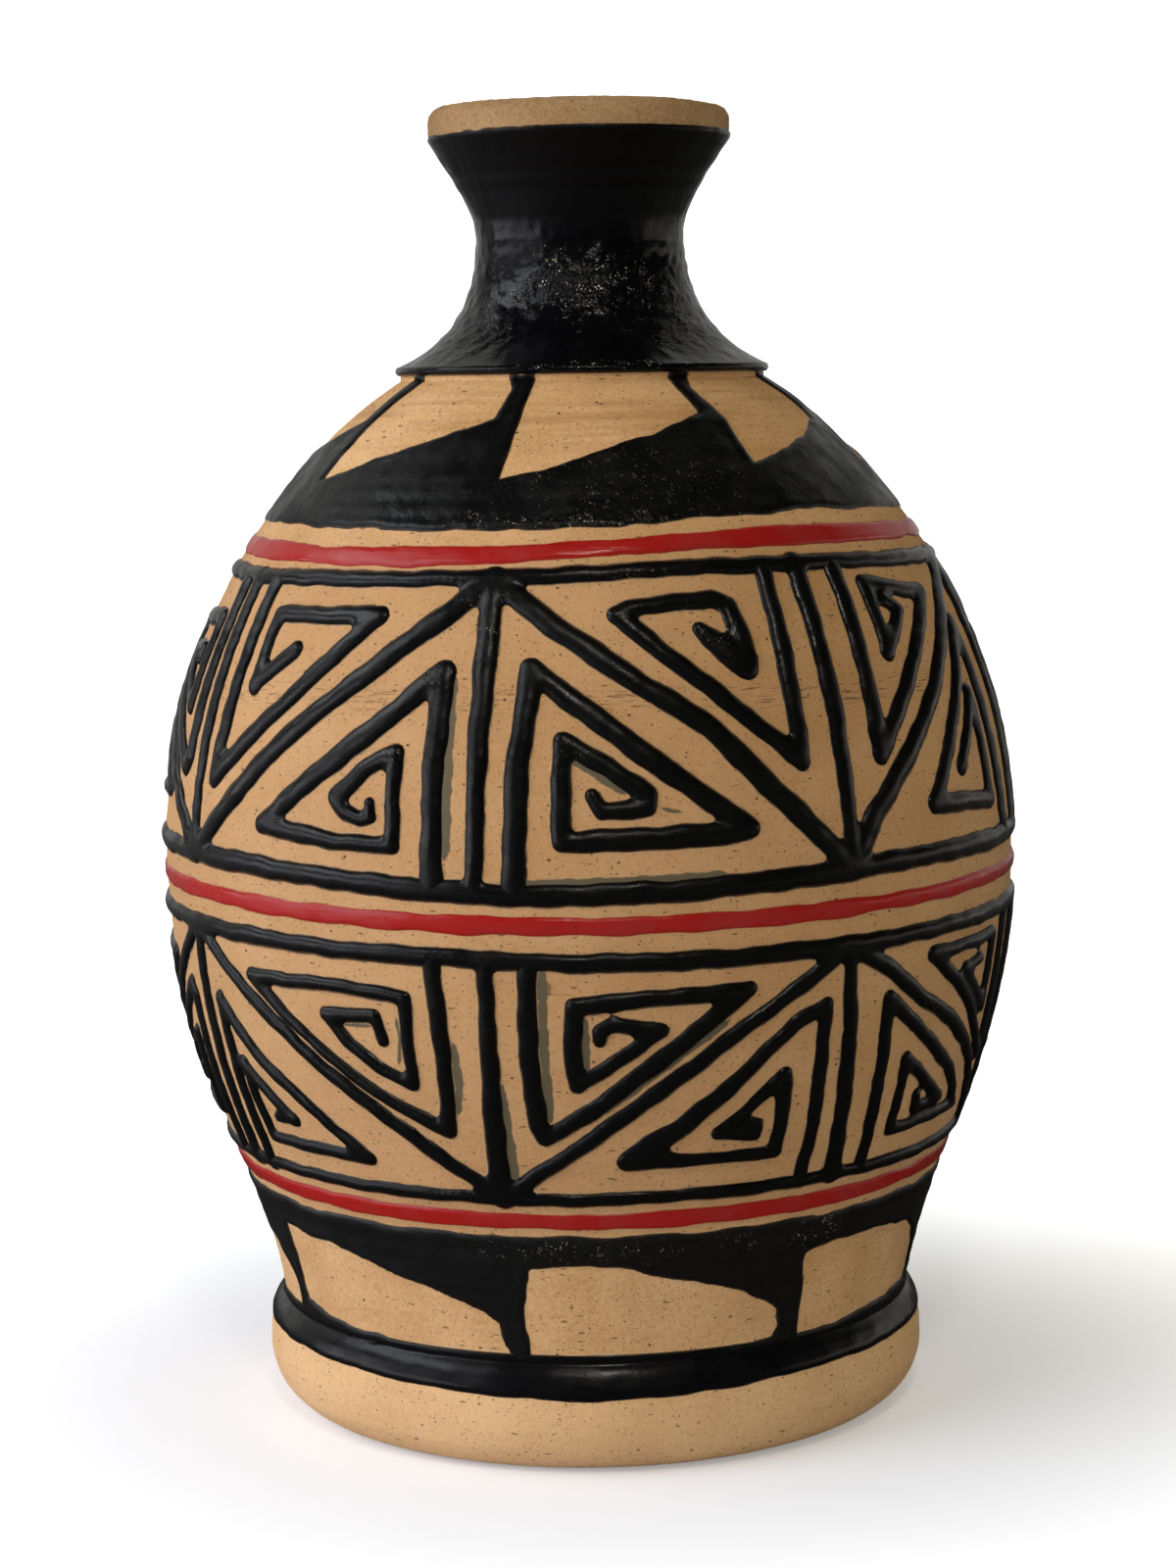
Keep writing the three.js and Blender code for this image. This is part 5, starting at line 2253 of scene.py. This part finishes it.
# The places along each strip, and its width.
SLIVERS = (
    (((-5.9, 97.5), (-6.0, 84), (-5.6, 69)), 1.9),
    (((-17.6, 84), (-17.3, 76), (-18.0, 70)), 1.7),
    (((-12.0, 77), (-11.5, 68), (-11.0, 57)), 2.2),
    (((-18.0, 148), (-17.8, 130), (-17.8, 116)), 2.3),
    (((-10, 112.4), (2, 112.7), (17, 113.2)), 1.5),
    (((-0.9, 89), (-0.8, 77.5)), 1.8),
    (((0.9, 70.5), (11.4, 81.2), (17.4, 87.2)), 1.5),
    (((-2.6, 134), (4.7, 127.4)), 1.4),
    (((8.8, 125.0), (10.2, 124.4), (11.6, 124.2)), 0.9),
    (((-8.6, 59.3), (-5.2, 59.2)), 0.9),
    (((1.5, 58.4), (3.4, 57.9)), 0.8),
    (((-25.2, 88), (-24.8, 84), (-25.4, 79)), 1.0),
    (((-28.5, 85.9), (-33.5, 85.6)), 0.9),
)


SLIVER_SEED = 500
SLIVER_WAVES = (9, 4, 2.1)
SLIVER_SWELL = 0.16
SLIVER_TAPER = 2.0
SLIVER_LEAST = 0.01
EDGE_SPREAD = 0.4


def slivers(trailer: Trailer, step: float = 1.0) -> list[tuple[np.ndarray, np.ndarray]]:
    """The strips of thin grey glaze that show beside some lines.

    Args:
        trailer: Used to walk along each strip.
        step: Distance between the places.

    Returns:
        The places of each strip with its half-widths.
    """
    made = []
    for seed, (path, width) in enumerate(SLIVERS):
        places, along = trailer.walk(path, step)
        ripple = Sway(np.random.default_rng(SLIVER_SEED + seed), SLIVER_WAVES).at(along)
        ends = np.clip(np.minimum(along, along[-1] - along) / SLIVER_TAPER, 0, 1)
        halves = width / 2 * (1 + SLIVER_SWELL * ripple) * np.sqrt(ends * (2 - ends))
        made.append((places[:, :2], halves + SLIVER_LEAST))
    return made


def finishes() -> dict[str, bpy.types.Material]:
    """Every finish by name."""
    black, brown = srgb(9, 9, 9), srgb(64, 52, 37)
    made = {
        "clay": ClayFinish(),
        "rim": ClayFinish(
            name="sandy_rim",
            pale=srgb(206, 166, 118),
            deep=srgb(172, 130, 84),
            sand=0.9,
            grains=1.0,
            specks=0.25,
            streaky=0.1,
        ),
        "lines": GlazeFinish(
            "black_line_glaze",
            black,
            brown,
            thin_below=0.16,
            smooth=0.25,
            dull=0.38,
            waves=0.05,
            grain=0.035,
            reflect=0.36,
            # The last number of each zone paints pale glints of light there.
            zones=(
                Zone((-18, -75, 158), (6, 12, 10), 0.15, 0.05, 0.7),
                Zone((-27, -72, 148), (5, 12, 4), 0.1, 0.0, 0.6),
                Zone((-34, -66, 134), (4, 12, 3), 0.1, 0.0, 0.6),
                Zone((13, -70, 163.5), (14, 14, 2.5), 0.25, 0.0, 0.7),
                Zone((-3, -80, 137), (6, 10, 4), 0.1, 0.0, 0.4),
                Zone((22, -70, 155), (9, 14, 7), 0.15, 0.0, 0.4),
            ),
        ),
        "neck": GlazeFinish(
            "black_neck_glaze",
            srgb(6, 6, 8),
            brown,
            smooth=0.17,
            dull=0.27,
            grain=0.006,
            streaks=0.02,
            reflect=0.25,
            # The colour of the painted glints of light.
            glint_colour=srgb(238, 226, 200),
            zones=(
                # Painted sparkle highlights below the waist.
                Zone((0, -24, 216), (18, 24, 8), 0.5, 0.0, 1.0),
                # A painted dotted highlight along the ledge.
                Zone((2, -34, 200.9), (26, 14, 1.1), 0.1, 0.0, 0.9),
                Zone((-22, -16, 208), (18, 18, 9), 0.35, 0.05, 0.2),
                Zone((22, -18, 211), (18, 18, 12), 0.4, 0.05, 0.25),
                Zone((0, -26, 238), (60, 60, 16), 0.0, 0.3),
            ),
        ),
        "shoulder": GlazeFinish(
            "black_shoulder_glaze",
            black,
            brown,
            smooth=0.3,
            dull=0.5,
            waves=0.22,
            grain=0.03,
            reflect=0.29,
            # Painted glints along the coat's lower edge.
            zones=(
                Zone((4, -60, 173), (38, 18, 3.2), 0.35, 0.0, 0.7),
                Zone((8, -52, 180), (30, 20, 9), 0.1, 0.0, 0.35),
            ),
        ),
        "skirt": GlazeFinish(
            "black_skirt_glaze",
            srgb(17, 16, 15),
            brown,
            smooth=0.38,
            dull=0.55,
            grain=0.03,
            # Painted glints along the coat's upper edge.
            zones=(
                Zone((0, -68, 43.5), (26, 12, 3.0), 0.4, 0.1, 0.7),
                Zone((40, -56, 43.5), (9, 12, 4), 0.6, 0.1, 0.9),
                Zone((26, -64, 43.8), (8, 10, 3), 0.4, 0.1, 0.7),
            ),
        ),
        "foot": GlazeFinish(
            "black_foot_glaze",
            srgb(9, 9, 11),
            brown,
            smooth=0.24,
            dull=0.34,
            waves=0.08,
            reflect=0.3,
        ),
        "red": GlazeFinish(
            "red_line_glaze",
            srgb(154, 22, 18),
            srgb(150, 60, 40),
            thin_below=0.22,
            smooth=0.2,
            dull=0.36,
            waves=0.05,
            streaks=0.05,
        ),
        "slivers": GlazeFinish(
            "thin_grey_coat",
            srgb(96, 84, 60),
            srgb(168, 132, 90),
            smooth=0.45,
            dull=0.6,
            waves=0.02,
        ),
        "edges": GlazeFinish(
            "thin_edge_glaze",
            srgb(58, 48, 33),
            srgb(188, 146, 99),
            thin_below=0.5,
            smooth=0.55,
            dull=0.7,
            waves=0.02,
        ),
    }
    return {name: finish.material() for name, finish in made.items()}


def main() -> None:
    """Builds the vase in its making order, and then the studio."""
    logging.basicConfig(level=logging.INFO, format="%(name)s: %(message)s")
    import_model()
    bpy.context.scene.view_settings.view_transform = "Standard"
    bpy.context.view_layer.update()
    shape = PotShape()
    finish = finishes()
    ClaySections(shape, finish["clay"], finish["rim"]).build()
    for coat in coats():
        coat.build(shape, finish[coat.finish])
    trailer = Trailer(shape)
    ThinRuns("slivers", shape).build(trailer, slivers(trailer), 0.0, finish["slivers"])
    for frieze in friezes():
        trailer.laid.clear()
        frieze.build(trailer, finish["lines"])
        strips = [(places[::2], halves[::2]) for places, halves in trailer.laid]
        edges = ThinRuns(f"{frieze.name}_edges", shape)
        edges.build(trailer, strips, EDGE_SPREAD, finish["edges"])
    Studio().build()


if __name__ == "__main__":
    main()
